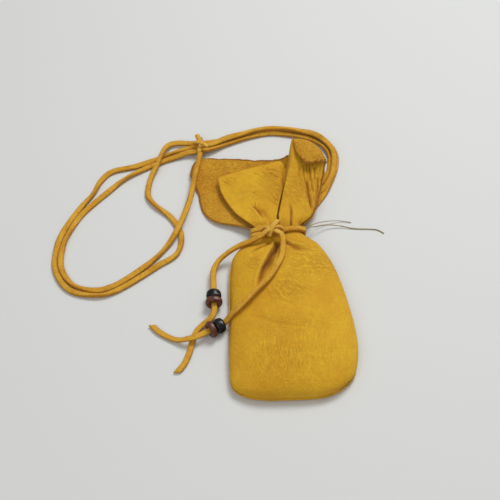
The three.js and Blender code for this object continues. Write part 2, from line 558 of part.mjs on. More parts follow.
add('seam_thread', cordGeometry(THREAD_ROUTE, THREAD_DIAMETER, THREAD_SIDES, 22), material(THREAD_COLOUR, 0.6));

const blackBead = beadGeometry(BEAD_DIAMETER, BEAD_LENGTH, BEAD_BORE, 1.4);
const woodRing = beadGeometry(RING_DIAMETER, RING_LENGTH, BEAD_BORE, 1);
const BEAD_STEP = (BEAD_LENGTH + RING_LENGTH) / 2 + 0.4;
const beadHeight = BEAD_DIAMETER / 2 + BEAD_REST;
const ringHeight = RING_DIAMETER / 2 + BEAD_REST;
const turnX = Math.sin(RIGHT_BEAD_TURN) * BEAD_STEP;
const turnY = -Math.cos(RIGHT_BEAD_TURN) * BEAD_STEP;
const gloss = material(BEAD_COLOUR, 0.15);
const wood = material(RING_COLOUR, 0.4);
addBead('black_bead_left', blackBead, gloss, LEFT_BEAD_X, LEFT_BEAD_Y, beadHeight, 0);
addBead('wood_ring_left', woodRing, wood, LEFT_BEAD_X, LEFT_BEAD_Y - BEAD_STEP, ringHeight, 0);
addBead('black_bead_right', blackBead, gloss, RIGHT_BEAD_X, RIGHT_BEAD_Y, beadHeight, RIGHT_BEAD_TURN);
addBead(
  'wood_ring_right', woodRing, wood, RIGHT_BEAD_X - turnX, RIGHT_BEAD_Y - turnY, ringHeight, RIGHT_BEAD_TURN,
);

export default part;
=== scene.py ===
# %% [markdown]
# # A deerskin neck pouch, lying on its back
#
# The pouch is two pieces of soft leather sewn together, turned right side out, gathered at the
# neck and tied with a lace. The leather above the tie flares into a mouth, and a long doubled lace
# is the strap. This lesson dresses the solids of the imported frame: it gives each piece its real
# surface, folds and finish, and leaves every piece where the frame holds it.

import math

import bpy
import numpy as np
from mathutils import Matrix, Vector


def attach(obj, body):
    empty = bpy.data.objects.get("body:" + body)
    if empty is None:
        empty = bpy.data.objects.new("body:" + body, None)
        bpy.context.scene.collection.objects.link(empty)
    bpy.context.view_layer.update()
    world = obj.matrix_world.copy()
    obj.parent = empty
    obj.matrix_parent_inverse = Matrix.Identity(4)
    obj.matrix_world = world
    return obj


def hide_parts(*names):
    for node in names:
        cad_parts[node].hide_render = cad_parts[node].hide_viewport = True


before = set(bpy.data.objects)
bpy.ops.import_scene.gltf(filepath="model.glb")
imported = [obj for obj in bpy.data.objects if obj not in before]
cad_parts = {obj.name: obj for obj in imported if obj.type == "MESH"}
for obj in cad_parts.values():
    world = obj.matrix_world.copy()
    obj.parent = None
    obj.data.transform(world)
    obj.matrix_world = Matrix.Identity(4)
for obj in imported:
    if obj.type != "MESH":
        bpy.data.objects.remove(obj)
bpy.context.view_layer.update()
MM = 0.001

# %% [markdown]
# ## Camera
#
# The view looks down at the table at 51 degrees, from the side of the pouch's bottom seam. The
# picture is square and the lens is long, so the pouch shows little perspective. Aiming a camera by
# a point that it looks at is easier to check than three angles, so the angles come from the aim.

# %% Camera
CAMERA_PLACE, CAMERA_AIM = (-0.0409, -0.3860, 0.5401), (-0.0218, 0.0510, 0.0)


def placed(name, data):
    """An object with that data, at the origin."""
    made = bpy.data.objects.new(name, data)
    bpy.context.collection.objects.link(made)
    return made


def aimed(thing, place, aim):
    """Puts a camera or a lamp in its place and turns it towards its aim."""
    thing.location = place
    thing.rotation_euler = (Vector(aim) - Vector(place)).to_track_quat("-Z", "Y").to_euler()


camera_data = bpy.data.cameras.new("camera")
camera_data.lens = 82.8
camera_data.sensor_width = 36
camera_data.shift_y = 0.006
camera = placed("camera", camera_data)
aimed(camera, CAMERA_PLACE, CAMERA_AIM)
bpy.context.scene.camera = camera
print("camera distance", round(math.dist(CAMERA_PLACE, CAMERA_AIM), 4), "m")

# %% [markdown]
# ## Routes of the laces and the thread
#
# A lace is a fixed length of leather cut from a hide. It leaves the knot, falls to the table and
# lies there in loose bends, so each one is settled as a route before anything else is made: a few
# chosen points, and one smooth curve through them. The numbers are millimetres, the same as in the
# solids: across the table, along it and up. Where the last one is missing, the lace lies on the
# table, with its middle half its thickness up.

# %% Routes
ROUTE_REST = 1.55
TIED_LACE = [
    (-50.3, 129.2, 6.4), (-51, 124.5, 7.2), (-53.9, 110, 6.2), (-57.6, 91.5, 4.4),
    (-64.9, 68.5, 5), (-71.8, 57, 2), (-79.8, 47.2), (-95.6, 33.4), (-104.3, 27.9),
    (-112.4, 25.6), (-126.6, 29.7), (-134.7, 42.8), (-134.9, 58.8), (-130.5, 73.3),
    (-124.3, 85.3), (-108.5, 103.6), (-100.8, 111.9), (-91.6, 118.9), (-73.5, 128.6, 1.6),
    (-66.5, 131, 2), (-58.5, 133.3, 3.4), (-50.5, 134, 4.1), (-43, 136.2, 3.4), (-34, 141.4, 2),
    (-13, 149.3), (-2, 150.6), (18.5, 145.8), (26, 141.3), (31, 135.2), (33.4, 128),
    (32.6, 119), (29.8, 111), (24.4, 103), (16.4, 94.4), (9.4, 84.6, 1.6), (3.6, 75.6, 1.9),
    (-6.4, 61.4, 4.05), (-7.4, 49.8, 3.9),
]
LOOPED_LACE = [
    (-3.9, 49.8, 3.9), (-2.5, 61.4, 4.05), (8, 73.8, 1.9), (19.4, 91.6, 1.6), (27, 100, 2.4),
    (32.4, 109, 4.1), (35.6, 127.6, 4.5), (33.2, 136, 4.5), (27.6, 143.1, 4.5),
    (19.2, 148.1, 4.5), (-1.8, 152.6, 4.5), (-13.6, 151.2, 4.5), (-35.6, 142.8, 4.9),
    (-43.6, 139, 4.8), (-59.5, 137.2, 3.2), (-67.6, 135.2, 1.9), (-90.5, 124.9),
    (-107.3, 120.2), (-113.9, 112.6), (-118.4, 101.6), (-124.4, 92.6), (-134.6, 73),
    (-138.2, 60), (-138.1, 41.6), (-128.8, 26.4), (-112.1, 21.8), (-102.9, 24.2), (-77.2, 42.3),
    (-65.6, 51.8), (-63.2, 65.4), (-69, 79.6), (-80.2, 92), (-83.6, 98.6), (-82.3, 112.6, 2),
    (-78, 122.6, 4.8), (-72, 139.4, 3.8), (-66.6, 143, 2.4), (-50.5, 140.9, 4.1),
    (-34.8, 145.2, 2), (-13.6, 152.8), (-1.8, 154.2), (20.6, 149.4), (29.4, 143.8), (35, 136.2),
    (37, 127.8), (36, 118.2), (29, 99.4), (16.6, 80.4, 1.6), (11.4, 71.9, 1.9),
    (0.8, 61.2, 4.12), (-0.4, 49.8, 3.95),
]
LEFT_TAIL = [
    (-13.8, 51.2, 17.1), (-16.8, 50, 16), (-21, 49, 13.8), (-26, 48.2, 12), (-31, 47, 10),
    (-36.4, 44.8, 7.3), (-41, 41.2, 5.4), (-43.8, 35.6, 5), (-44.4, 30, 4.9),
    (-44.4, 24.4, 4.9), (-44.4, 18, 4.9), (-44.4, 11, 4.9), (-44.4, 5.4, 4.9),
    (-46.2, 0.8, 4.1), (-50.8, -2.4, 2.5), (-55, -6.6, 1.6), (-57.3, -13.2), (-59, -20.4),
    (-62, -28), (-66, -33.6),
]
RIGHT_TAIL = [
    (-3, 50.8, 17.2), (-2.6, 46.6, 17.2), (-2.8, 42, 17), (-4.2, 34, 16.8), (-7.5, 26.9, 17.1),
    (-12.9, 18, 17.2), (-19.6, 10.7, 16.8), (-24.6, 5.4, 15.8), (-28.6, 2.2, 14.1),
    (-32, 0.2, 11.7), (-34.6, -1, 9.4), (-36.6, -2.2, 6.9), (-38.6, -3.4, 5.05),
    (-40.9, -4.8, 4.85), (-43.7, -6.4, 4.85), (-48.8, -9.4, 4.9), (-54.4, -12.4, 5.15),
    (-60.4, -13.4, 4.3), (-65.8, -12.2, 2), (-71.2, -9.4), (-76.8, -5.2), (-80.1, -1.1),
]
SEAM_THREAD = [
    (10.2, 63.5, 7.9), (13.8, 64, 7.2), (18.4, 65, 6), (22.9, 67.2, 4.4), (27.4, 68.8, 2.8),
    (34.9, 68.8, 1.3), (41, 67.4, 0.6), (46.4, 66.8, 0.45), (51.6, 66.4, 0.45),
    (56.6, 65.6, 0.45), (60.8, 62.6, 0.45),
]


def curve_through(points, places):
    """Points on smooth curves through rows of points; a place is a row number with a fraction."""
    count = len(points)
    ends = (2 * points[:1] - points[1:2], points, 2 * points[-1:] - points[-2:-1])
    run = np.concatenate(ends)
    row = np.minimum(places.astype(int), count - 2)
    part = (places - row)[:, None, None]
    a, b, c, d = (run[row + k] for k in range(4))
    gaps = [((q - p) ** 2).sum(-1, keepdims=True) ** 0.25 for p, q in ((a, b), (b, c), (c, d))]
    middle = np.where(gaps[1] < 1e-4, 1.0, gaps[1])
    before, after = (np.where(g < 1e-4, middle, g) for g in (gaps[0], gaps[2]))
    out = ((b - a) / before - (c - a) / (before + middle) + (c - b) / middle) * middle
    into = ((c - b) / middle - (d - b) / (middle + after) + (d - c) / after) * middle
    bend = -3 * b + 3 * c - 2 * out - into
    twist = 2 * b - 2 * c + out + into
    return b + out * part + bend * part**2 + twist * part**3


def even_route(points, step=1.0):
    """A route as points at even distances, in millimetres."""
    rows = np.array([(*point, ROUTE_REST)[:3] for point in points], float)[:, None, :]
    fine = curve_through(rows, np.linspace(0, len(rows) - 1, len(rows) * 40))[:, 0]
    length = np.concatenate([[0], np.cumsum(np.linalg.norm(np.diff(fine, axis=0), axis=1))])
    marks = np.linspace(0, length[-1], max(int(length[-1] / step), 2) + 1)
    return np.stack([np.interp(marks, length, fine[:, k]) for k in range(3)], axis=1), length[-1]


for name, points in (
    ("tied lace", TIED_LACE), ("looped lace", LOOPED_LACE), ("left tail", LEFT_TAIL),
    ("right tail", RIGHT_TAIL), ("seam thread", SEAM_THREAD),
):
    print(name, round(even_route(points)[1], 1), "mm")

# %% [markdown]
# ## Shape of the two leather panels
#
# Each panel is one cut of leather, from the bottom seam through the gathered neck to the flaring
# mouth. A lofted sheet suits it: stations are laid from the seam to the mouth, smooth curves run
# through them both ways, and the folds are then pressed into the finished surface. A cloth
# simulation would find folds of its own, and these have to be the folds of this pouch.

# %% Measures of the panels
LEATHER = 1.1
BODY_WIDTH, BODY_LENGTH, BODY_RISE = 74, 111, 10.4
SEAM_HEIGHT, SEAM_STEP, SEAM_LEDGE = 2.2, 2.5, 1.1
BACK_DISH, DISH_POWER = 8, 2.6
NECK_Y, NECK_CENTRE, NECK_WIDTH = 56, -4.4, 27.4
NECK_UNDERSIDE, NECK_SEAM, NECK_RISE = 6, 8.6, 4.2

# share of the length, left seam, right seam, how far the row's ends stand up, puff, dish, ledge
BODY_ROWS = [
    (0, -0.905, 0.743, 5.5, 8.5, 0, 0, 0),
    (0.012, -0.957, 0.8, 6.7, 8.5, 0.34, 0.3, 0),
    (0.05, -0.99, 0.862, 7, 7.5, 0.66, 0.7, 0),
    (0.125, -0.997, 0.919, 6, 5.8, 0.89, 0.95, 0),
    (0.24, -0.997, 0.967, 4.4, 4.4, 1, 1, 0),
    (0.39, -0.968, 0.957, 2, 2, 1.03, 1, 0.5),
    (0.54, -0.938, 0.905, 0, 0, 1, 1, 1),
    (0.67, -0.93, 0.84, 0, 0, 0.96, 0.95, 1),
    (0.79, -0.9, 0.74, 0, 0, 0.86, 0.8, 1),
    (0.88, -0.852, 0.625, 0, 0, 0.7, 0.55, 0.5),
    (0.945, -0.7, 0.49, 0, 1, 0.48, -0.45, 0),
]
# y, share of the neck's width, how far the row climbs to the right
NECK_ROWS = [(NECK_Y, 1.02, 1.6), (NECK_Y + 4.5, 1, 1)]
# neck x, end x, end y, depth and half width of each gather that runs out of the neck
GATHERS = [
    (-6, -16.5, 20, 3.2, 2.9), (0, 9.5, 36, 0.7, 2.6), (-14, -24, 36, 0.7, 2.8),
    (6.5, 16, 38, 0.5, 2.8),
]

FRONT_TURNS = [-1, -0.5, -0.22, -0.04, 0.044, 0.13, 0.25, 0.384, 0.671, 1]
BACK_TURNS = [-1, -0.5, -0.27, -0.03, 0.22, 0.42, 0.66, 1]
FRONT_ACROSS, BACK_ACROSS = [4, 4, 3, 2, 3, 2, 3, 3, 3], [4, 2, 3, 3, 3, 3, 3]
FRONT_ALONG = [1, 1, 2, 2, 2, 2, 2, 3, 3, 2, 1, 1, 1, 1, 2, 2, 2, 2, 1, 2, 2]
BACK_ALONG = [1, 1, 1, 2, 2, 2, 2, 2, 2, 2, 1, 1, 1, 1, 2, 2, 2, 1, 1, 1, 1]

# %% [markdown]
# Above the neck the front panel is the loose lobe at the left, the deep crease, and the raised ear
# whose top turns over. The back panel is the flat flap and the back of the ear. Each line below
# runs from the tie to the mouth's cut edge.

# %% Lines of the mouth
FRONT_LINES = [
    [(-18.1, 63, 9.4), (-23.5, 70, 8.2), (-29.5, 78, 6.4), (-34.2, 87.5, 5.2), (-37.9, 97, 5),
     (-39.2, 104, 5.6), (-39.5, 106.6, 6), (-39.4, 107.4, 6.1), (-39.3, 108.2, 6.2)],
    [(-14.1, 63, 11.3), (-17, 70, 10.2), (-19.8, 79.5, 8.4), (-22.9, 90, 7.5), (-24.6, 101, 7.3),
     (-25.3, 108.8, 7), (-25.5, 111.2, 6.9), (-25.5, 112, 6.9), (-25.5, 112.8, 6.9)],
    [(-9.2, 63, 12.4), (-10, 70, 11.4), (-10.2, 80, 10.1), (-10.5, 91.5, 9.3), (-10.7, 103, 8.8),
     (-10.8, 111.8, 8.2), (-10.8, 114.4, 8), (-10.8, 115.2, 8), (-10.8, 116, 8)],
    [(-5.8, 63, 12.4), (-6.3, 70, 11.4), (-4.6, 80, 10.3), (-2.6, 92, 9.7), (-1, 104, 9.2),
     (0.2, 113.8, 8.8), (0.5, 116.6, 8.7), (0.5, 117.4, 8.7), (0.6, 118.2, 8.7)],
    [(-4, 63, 11), (-3.9, 70, 8.9), (-2, 80, 7.7), (0, 91.5, 7.1), (1.8, 102.5, 7),
     (3, 109.8, 7.4), (3.4, 112.2, 7.8), (3.5, 113, 8), (3.6, 113.8, 8.2)],
    [(-2.2, 63, 13), (-1, 70, 13.6), (1, 80.5, 14.2), (3, 91, 15.1), (5, 103, 16.7),
     (6.8, 114.5, 18.7), (7.7, 123, 20.1), (8, 125, 20.4), (8.2, 126.3, 20.5)],
    [(0.6, 63.2, 13.1), (2.4, 70, 13.5), (4.8, 80.4, 13.9), (6.8, 90.8, 14.8), (8.8, 102, 16.4),
     (10.4, 113, 18.9), (11.2, 124.4, 20.9), (11.2, 119.6, 22), (10.8, 112.4, 20.6)],
    [(3.2, 63.4, 12.6), (7.4, 70.2, 12.9), (10.9, 80.2, 13.3), (13, 90.5, 14), (15, 101, 15.5),
     (16.7, 111.5, 18.2), (17.8, 122, 21.3), (17.6, 114.2, 22.4), (16.6, 104.8, 20.4)],
    [(7.2, 63.8, 11.2), (12.6, 70.6, 11.4), (16.4, 81, 11.5), (18.6, 91, 12), (20.6, 100.5, 13.4),
     (22.4, 109.5, 16.2), (24, 117.2, 19.2), (24, 112.4, 20.4), (22.6, 106.6, 18.9)],
    [(9.2, 64, 9.1), (16.3, 71, 9.1), (20.4, 81.5, 8.9), (22.7, 91, 9.2), (24.8, 100.5, 10.5),
     (26.6, 107.4, 12.6), (27.9, 111.4, 14.7), (27.7, 110.6, 15.8), (26.8, 109.8, 16.4)],
]
BACK_LINES = [
    [(-18.3, 63, 6.4), (-29, 69.5, 3.4), (-42, 74.8, 1.6), (-49.5, 84, 0.2), (-52.2, 98, 0.1),
     (-55.6, 110, 2), (-56.6, 117, 2.4), (-54.5, 123.5, 2.4), (-50, 128.3, 2)],
    [(-14.1, 63, 5.8), (-20, 70.5, 3.6), (-27, 79, 1.7), (-31, 90, 0.4), (-33.5, 102, 0),
     (-35, 113, 0.3), (-35.3, 120, 1.3), (-35.2, 124.5, 1.8), (-35, 127, 2.4)],
    [(-10, 63, 5.9), (-12.6, 71, 4.2), (-14.4, 80.5, 2.3), (-16.2, 92, 0.9), (-17.5, 104, 0.5),
     (-18.5, 114.5, 0.7), (-18.8, 120.5, 1.6), (-18.8, 123.5, 2.2), (-18.8, 125.4, 2.8)],
    [(-5, 63, 6.1), (-5.2, 71, 4.8), (-4.8, 80.5, 3.1), (-4.2, 92, 2.1), (-3.4, 104, 1.9),
     (-2.8, 114, 2.4), (-2.8, 119.5, 3), (-2.8, 121.8, 3.4), (-2.8, 123.2, 4)],
    [(0.3, 63, 6.2), (1.6, 71, 4.9), (2.8, 80.5, 4), (3.8, 92, 3.6), (4.6, 103.5, 3.6),
     (5.4, 112, 4.4), (6, 117, 6), (6.4, 119.8, 7.8), (6.8, 122, 10)],
    [(4, 63.2, 6.3), (7.2, 70.8, 5.6), (9.4, 80.5, 5.1), (10.6, 91, 5.2), (11.4, 102, 6),
     (12, 112, 8.6), (12.4, 118.5, 11.6), (12.6, 121.8, 13.6), (12.8, 124, 15.2)],
    [(7.4, 63.6, 6.7), (13, 70.9, 6.5), (16.6, 81, 6.2), (18.6, 91, 6.4), (19.9, 101, 7.6),
     (20.8, 110, 10), (21.4, 115.5, 12.2), (21.7, 117.6, 13.2), (21.9, 119, 14)],
    [(9.6, 64, 6.9), (17, 71, 6.9), (21.3, 81.5, 6.9), (23.7, 91, 7.2), (25.8, 100.5, 8.4),
     (27.6, 107.4, 10.4), (28.9, 111, 12), (29.3, 112, 12.4), (29.5, 112.6, 12.8)],
]

# %% Loft of a panel
def smooth_step(value, low, high):
    """0 below low, 1 above high and smooth between them."""
    share = np.clip((value - low) / (high - low), 0, 1)
    return share * share * (3 - 2 * share)


def gather_depth(x, y):
    """How deep the main gathers cut into the front of the body."""
    depth = np.zeros_like(x)
    for neck_x, end_x, end_y, deep, half_width in GATHERS:
        run = (NECK_Y - 6 - y) / (NECK_Y - 6 - end_y)
        centre = neck_x + (end_x - neck_x) * run
        fade = np.sin(np.pi * (0.12 + 0.88 * run)) * ((run >= 0) & (run <= 1))
        depth += deep * fade * np.exp(-(((x - centre) / half_width) ** 2))
    return depth


def body_station(row, turns, front):
    """One row of the body or neck, at turns from -1 at the left seam to 1 at the right one."""
    share, lift = np.sin(turns * np.pi / 2), np.cos(turns * np.pi / 2)
    neck = len(row) == 3
    if neck:
        half, middle, blend = row[1] * NECK_WIDTH / 2, NECK_CENTRE, 1.0
        y = row[0] + row[2] * share
    else:
        half, middle = (row[2] - row[1]) * BODY_WIDTH / 4, (row[2] + row[1]) * BODY_WIDTH / 4
        turn_up = np.where(share < 0, row[3], row[4]) * np.abs(share) ** 4
        y = NECK_Y - BODY_LENGTH * (1 - row[0]) + turn_up
        blend = 0.8 * float(smooth_step(row[0], 0.6, 1.0))
    seam = SEAM_HEIGHT + (NECK_SEAM - SEAM_STEP - SEAM_HEIGHT) * blend
    if front:
        rise = NECK_RISE if neck else BODY_RISE * row[5]
        x = middle + half * share
        return np.stack([x, y, seam + SEAM_STEP + rise * lift - gather_depth(x, y)], axis=1)
    ledge = 0 if neck else SEAM_LEDGE * row[7] * np.maximum(-share, 0) ** 6
    drop = NECK_SEAM - SEAM_STEP - NECK_UNDERSIDE if neck else BACK_DISH * row[6] * (1 - blend)
    z = seam - drop * (1 - np.abs(share) ** DISH_POWER)
    return np.stack([middle + (half + ledge) * share, y, z], axis=1)


def places_of(steps, fine):
    """Evenly stepped places between the stations, fine times as many as in the solid."""
    marks = [np.arange(s * fine) / (s * fine) + k for k, s in enumerate(steps)]
    return np.concatenate(marks + [[float(len(steps))]])


def panel_surface(lines, turns, across, along, front, fine):
    """The outer surface of a panel as a grid of points, rows from the bottom seam to the mouth."""
    columns = places_of(across, fine)
    at = np.interp(columns, np.arange(len(turns)), turns)
    stations = [body_station(row, at, front) for row in BODY_ROWS + NECK_ROWS]
    flap = np.array(lines, float)
    stations += [curve_through(flap[:, r, None, :], columns)[:, 0] for r in range(flap.shape[1])]
    rows = places_of(along, fine)
    grid = curve_through(np.array(stations), rows)
    grid[..., 2] = np.maximum(grid[..., 2], 0)
    return grid, rows, columns


FINE = 6
front_grid, front_rows, front_columns = panel_surface(
    FRONT_LINES, FRONT_TURNS, FRONT_ACROSS, FRONT_ALONG, True, FINE)
back_grid, back_rows, back_columns = panel_surface(
    BACK_LINES, BACK_TURNS, BACK_ACROSS, BACK_ALONG, False, FINE)
print("front grid", front_grid.shape, "back grid", back_grid.shape)

# %% [markdown]
# ## Folds pressed into the leather
#
# Deerskin creases where it is pulled together and stays soft elsewhere. The folds of this pouch
# are drawn as lines on it, each with a depth and a width, and the surface sinks along them. A
# negative depth raises a ridge. How far a place has sunk is kept too, because the finish paints
# shade into the folds and a highlight onto the ridges.

# %% A fold along a line
def line_distance(x, y, line):
    """How far each point is from a line on the plan, its side (1 is left) and its place along."""
    line = np.array(line, float)
    lengths = np.linalg.norm(np.diff(line, axis=0), axis=1)
    total, passed = lengths.sum(), 0.0
    best, side, place = np.full(x.shape, 1e9), np.ones(x.shape), np.zeros(x.shape)
    for (ax, ay), (bx, by), length in zip(line[:-1], line[1:], lengths):
        t = ((x - ax) * (bx - ax) + (y - ay) * (by - ay)) / length**2
        t = np.clip(t, 0, 1)
        away = np.hypot(x - ax - t * (bx - ax), y - ay - t * (by - ay))
        nearer = away < best
        best = np.where(nearer, away, best)
        side = np.where(nearer, np.sign((bx - ax) * (y - ay) - (by - ay) * (x - ax)), side)
        place = np.where(nearer, (passed + t * length) / total, place)
        passed += length
    return best, side, place


def fold(x, y, line, depth, width, start, end, lean):
    """A fold along a line, fading at its ends. A lean of 1 makes its left wall steep and puffed."""
    away, side, place = line_distance(x, y, line)
    fade = smooth_step(place, 0, start) * (1 - smooth_step(place, end, 1.0001))
    steep = side * lean
    near = away / (width * (1 - 0.45 * steep))
    valley = np.exp(-(near**1.5) * 1.4)
    puff = np.where(steep < -0.3, 0, 0.3 + 0.35 * np.maximum(steep, 0))
    return depth * fade * (valley - puff * np.exp(-((near - 2.1) ** 2)))

# %% [markdown]
# The body's folds run out of the gathered neck, the deepest under the right tail, where the leather
# has tucked under itself. Farther down there are only shallow creases.

# %% Folds of the body
# depth, width, where it starts and stops to fade, lean, and the lines of the folds that have these
BODY_FOLDS = [
    (1.6, 1.8, 0.02, 0.75, -1,
     [(-6, 50.5), (-6.4, 47), (-8.1, 43), (-10.6, 38), (-13.4, 32), (-16, 26), (-18.2, 20),
      (-20, 13)]),
    (0.5, 1.0, 0.3, 0.5, 0, [(-6.8, 40), (-9.4, 34), (-12, 28)]),
    (1.3, 1.5, 0.02, 0.35, 1, [(-1.8, 50), (1.2, 46.6), (5.4, 43.8), (10.2, 42.2), (15.5, 41.6)]),
    (0.3, 0.9, 0.1, 0.4, 0, [(1.4, 43.6), (6, 41.6), (11, 40.4)]),
    (1.1, 1.3, 0.05, 0.4, 0, [(-9, 49.8), (-13, 46.4), (-19.4, 43), (-25, 38.4)]),
    (0.5, 1.1, 0.05, 0.4, 0, [(3.6, 51), (9, 48.2), (14, 47.6)], [(-12, 50), (-19, 48), (-24, 45)]),
    (0.5, 2.6, 0.3, 0.6, 0,
     [(-30.5, -6.5), (-23, -4.1), (-18, -6.1), (-9.4, -11.4), (-2.2, -14), (6.6, -14.4)]),
    (0.25, 1.1, 0.3, 0.6, 0, [(-14, 12.8), (-12.9, 6.2)]),
    (0.32, 0.9, 0.3, 0.6, 0, [(-6.5, 13.4), (-4.9, 9), (-2.5, 4.8)]),
    (0.25, 0.9, 0.3, 0.6, 0, [(-8.8, 11.6), (-6.9, 5.9)]),
    (0.25, 0.9, 0.2, 0.6, 0, [(-2, 40), (6, 38.2), (15, 38.6)],
     [(-6.3, 28.6), (3.6, 28.6), (14.3, 27.7), (25.5, 25.2)]),
    (0.3, 1.0, 0.2, 0.6, 0, [(-5.1, 35.8), (4.2, 36.4), (14.8, 34.4), (23.8, 31.6)]),
    (0.22, 0.8, 0.2, 0.6, 0, [(0, 32), (9, 31.4), (19, 29)]),
    (0.22, 1.2, 0.2, 0.6, 0, [(-6, 21.4), (6, 19), (17.7, 13.7), (26.3, 8.6)]),
    (0.2, 1.5, 0.2, 0.6, 0, [(1.8, 1.3), (11.9, -2.8), (22.6, -7)]),
]
print("lines of folds on the body", sum(len(row) - 5 for row in BODY_FOLDS))

# %% [markdown]
# Above the tie the lobe is pinched near its root and has short creases where it was bent back. The
# ear is crumpled all down its side, because it holds most of the gathered width.

# %% Folds of the mouth
MOUTH_FOLDS = [
    (1.3, 0.5, 0.02, 0.6, 0,
     [(-4.3, 61), (-4.3, 69.5), (-3, 75.8), (-1.7, 81.6), (-0.2, 88.1), (1.3, 93.9), (2.7, 102.9)]),
    (1.6, 0.7, 0.02, 0.45, 0,
     [(3.3, 60), (3.6, 63), (4, 68.1), (4.2, 73.5), (2.9, 78.9), (1.8, 83)]),
    (0.4, 0.6, 0.1, 0.5, 0, [(-1.6, 62), (-1.2, 68), (-0.4, 74)]),
    (0.7, 0.9, 0.02, 0.4, 0, [(8, 60.5), (9.6, 65), (10.4, 70)]),
    # the pinch on the lobe, its rays, and the hollow beside it
    (1.4, 1.0, 0.05, 0.35, -0.6,
     [(-19.1, 81.6), (-16.9, 78.6), (-15.4, 75), (-14.5, 72.3), (-12, 66)]),
    (0.7, 0.5, 0.4, 0.7, 0, [(-18.2, 85), (-17.8, 83), (-17.1, 80.4)],
     [(-15, 82.8), (-15.6, 81.2), (-16.2, 79.4)]),
    (0.6, 0.5, 0.4, 0.7, 0, [(-21, 83), (-19.8, 82), (-18.3, 80.6)],
     [(-13, 80.6), (-14.6, 79.2), (-15.8, 77.6)]),
    (0.8, 2.4, 0.2, 0.5, 0, [(-15.6, 79), (-13, 76), (-11, 71), (-8.6, 65)]),
    (0.5, 1.0, 0.02, 0.4, 0, [(-8.4, 60.5), (-9.4, 65), (-11, 70)]),
    (0.8, 0.9, 0.2, 0.6, 0, [(-20, 65.6), (-14.6, 64.4), (-9.2, 63.7)]),
    # short creases at the lobe's top, beside the deep crease, across its middle and at its tip
    (0.85, 0.7, 0.2, 0.6, 0, [(-10.8, 112.6), (-5.1, 111), (0.8, 107.3)]),
    (0.95, 0.7, 0.2, 0.6, 0, [(-8.6, 110.1), (-4.7, 105.9), (0, 102)]),
    (0.8, 0.7, 0.2, 0.5, 0, [(-13.3, 110.1), (-8.7, 107.1), (-5.5, 103.8), (-2, 101)]),
    (0.55, 0.7, 0.2, 0.6, 0, [(-18.8, 109.6), (-13.8, 107.5), (-9.6, 104.6)]),
    (0.85, 0.55, 0.2, 0.8, 0, [(-5.4, 98.2), (-2, 96.8), (0.4, 94.6)],
     [(-6, 94.2), (-3, 91.8), (-0.9, 89.6)], [(-6.2, 90.4), (-3, 87.8), (-1.7, 86.2)],
     [(-6.8, 86.8), (-4, 84.6), (-2.6, 83)], [(-7.6, 83.2), (-5, 81.4), (-3.4, 79.6)]),
    (0.65, 0.55, 0.2, 0.6, 0, [(-20.5, 93.2), (-15.2, 92.3), (-9.6, 90.9)]),
    (0.55, 0.5, 0.2, 0.6, 0, [(-35, 106.6), (-32.4, 104.6), (-29.6, 102.2)],
     [(-32.5, 107.6), (-29.2, 104.7)], [(-36.2, 104.6), (-31.7, 100.7)]),
    (0.9, 0.7, 0.1, 0.9, 0, [(-11.2, 113.9), (-10.3, 113.7)]),
    # the crumpled side of the ear
    (1.7, 0.85, 0.15, 0.75, 0.6, [(15.5, 97), (16.1, 90), (16.6, 84), (17.2, 79), (17.4, 74)]),
    (1.1, 0.75, 0.15, 0.75, 0.4, [(23, 103), (22.8, 95), (21.4, 86.2), (19.2, 79)]),
    (0.7, 0.7, 0.15, 0.7, 0, [(13.9, 107), (14.1, 98), (15.1, 92)]),
    (1.1, 0.7, 0.15, 0.7, 0.4, [(18.2, 108), (18, 100), (18.8, 93.5), (19.2, 86)]),
    (0.8, 0.6, 0.15, 0.7, 0, [(21, 107.5), (20.9, 101), (21.7, 95)]),
    (0.7, 0.6, 0.15, 0.7, 0, [(25.3, 108), (24.4, 102), (23, 96)]),
    (0.6, 0.8, 0.15, 0.6, 0, [(11.7, 108), (10.9, 100), (11.4, 93), (12, 85)]),
    (0.7, 0.55, 0.15, 0.7, 0, [(16.2, 108), (16, 103), (16.6, 98)]),
    (0.6, 0.6, 0.2, 0.7, 0, [(14.6, 90), (15, 86), (15.8, 82)]),
    (0.9, 1.0, 0.15, 0.6, 0, [(12.6, 66.5), (16.3, 68.6), (18.6, 73), (18.9, 78)]),
    (0.35, 0.6, 0.2, 0.6, 0, [(6.8, 96), (9, 92), (11.4, 88)], [(5, 91), (7.6, 87), (10.6, 83)],
     [(4.6, 86), (7, 82), (10, 78.4)]),
    (0.3, 0.6, 0.2, 0.6, 0, [(7, 82.6), (9.6, 79.6), (12.6, 77)]),
]
# y and x of the mouth's deep crease
CREASE = [(60, -4.3), (69.5, -4.3), (75.8, -3), (81.6, -1.7), (88.1, -0.2), (93.9, 1.3),
          (102.9, 2.7), (112, 3.9)]


print("lines of folds on the mouth", sum(len(row) - 5 for row in MOUTH_FOLDS))

# %% [markdown]
# Between the folds the skin has fine wrinkles, each patch of them lying its own way. The larger
# ones are real relief, and the finish adds the finest where the same table says so. Low swells keep
# the body from looking blown up.

# %% Wrinkles and swells
def waves(x, y, angle, length, phase=0.0):
    """A soft run of waves across the plan, its crests lying at an angle from X."""
    across = -x * math.sin(math.radians(angle)) + y * math.cos(math.radians(angle))
    along = x * math.cos(math.radians(angle)) + y * math.sin(math.radians(angle))
    bend = 0.35 * length * np.sin(along * 2 * np.pi / (length * 5.3) + phase)
    fade = 0.62 + 0.38 * np.sin(
        along * 2 * np.pi / (length * 3.7) + across * 1.3 / length + 2 * phase)
    return fade * np.sin((across + bend) * 2 * np.pi / length + phase)


def patch(x, y, centre, size):
    """1 at the centre of an oval patch and 0 well outside it."""
    return np.exp(-(((x - centre[0]) / size[0]) ** 2 + ((y - centre[1]) / size[1]) ** 2))


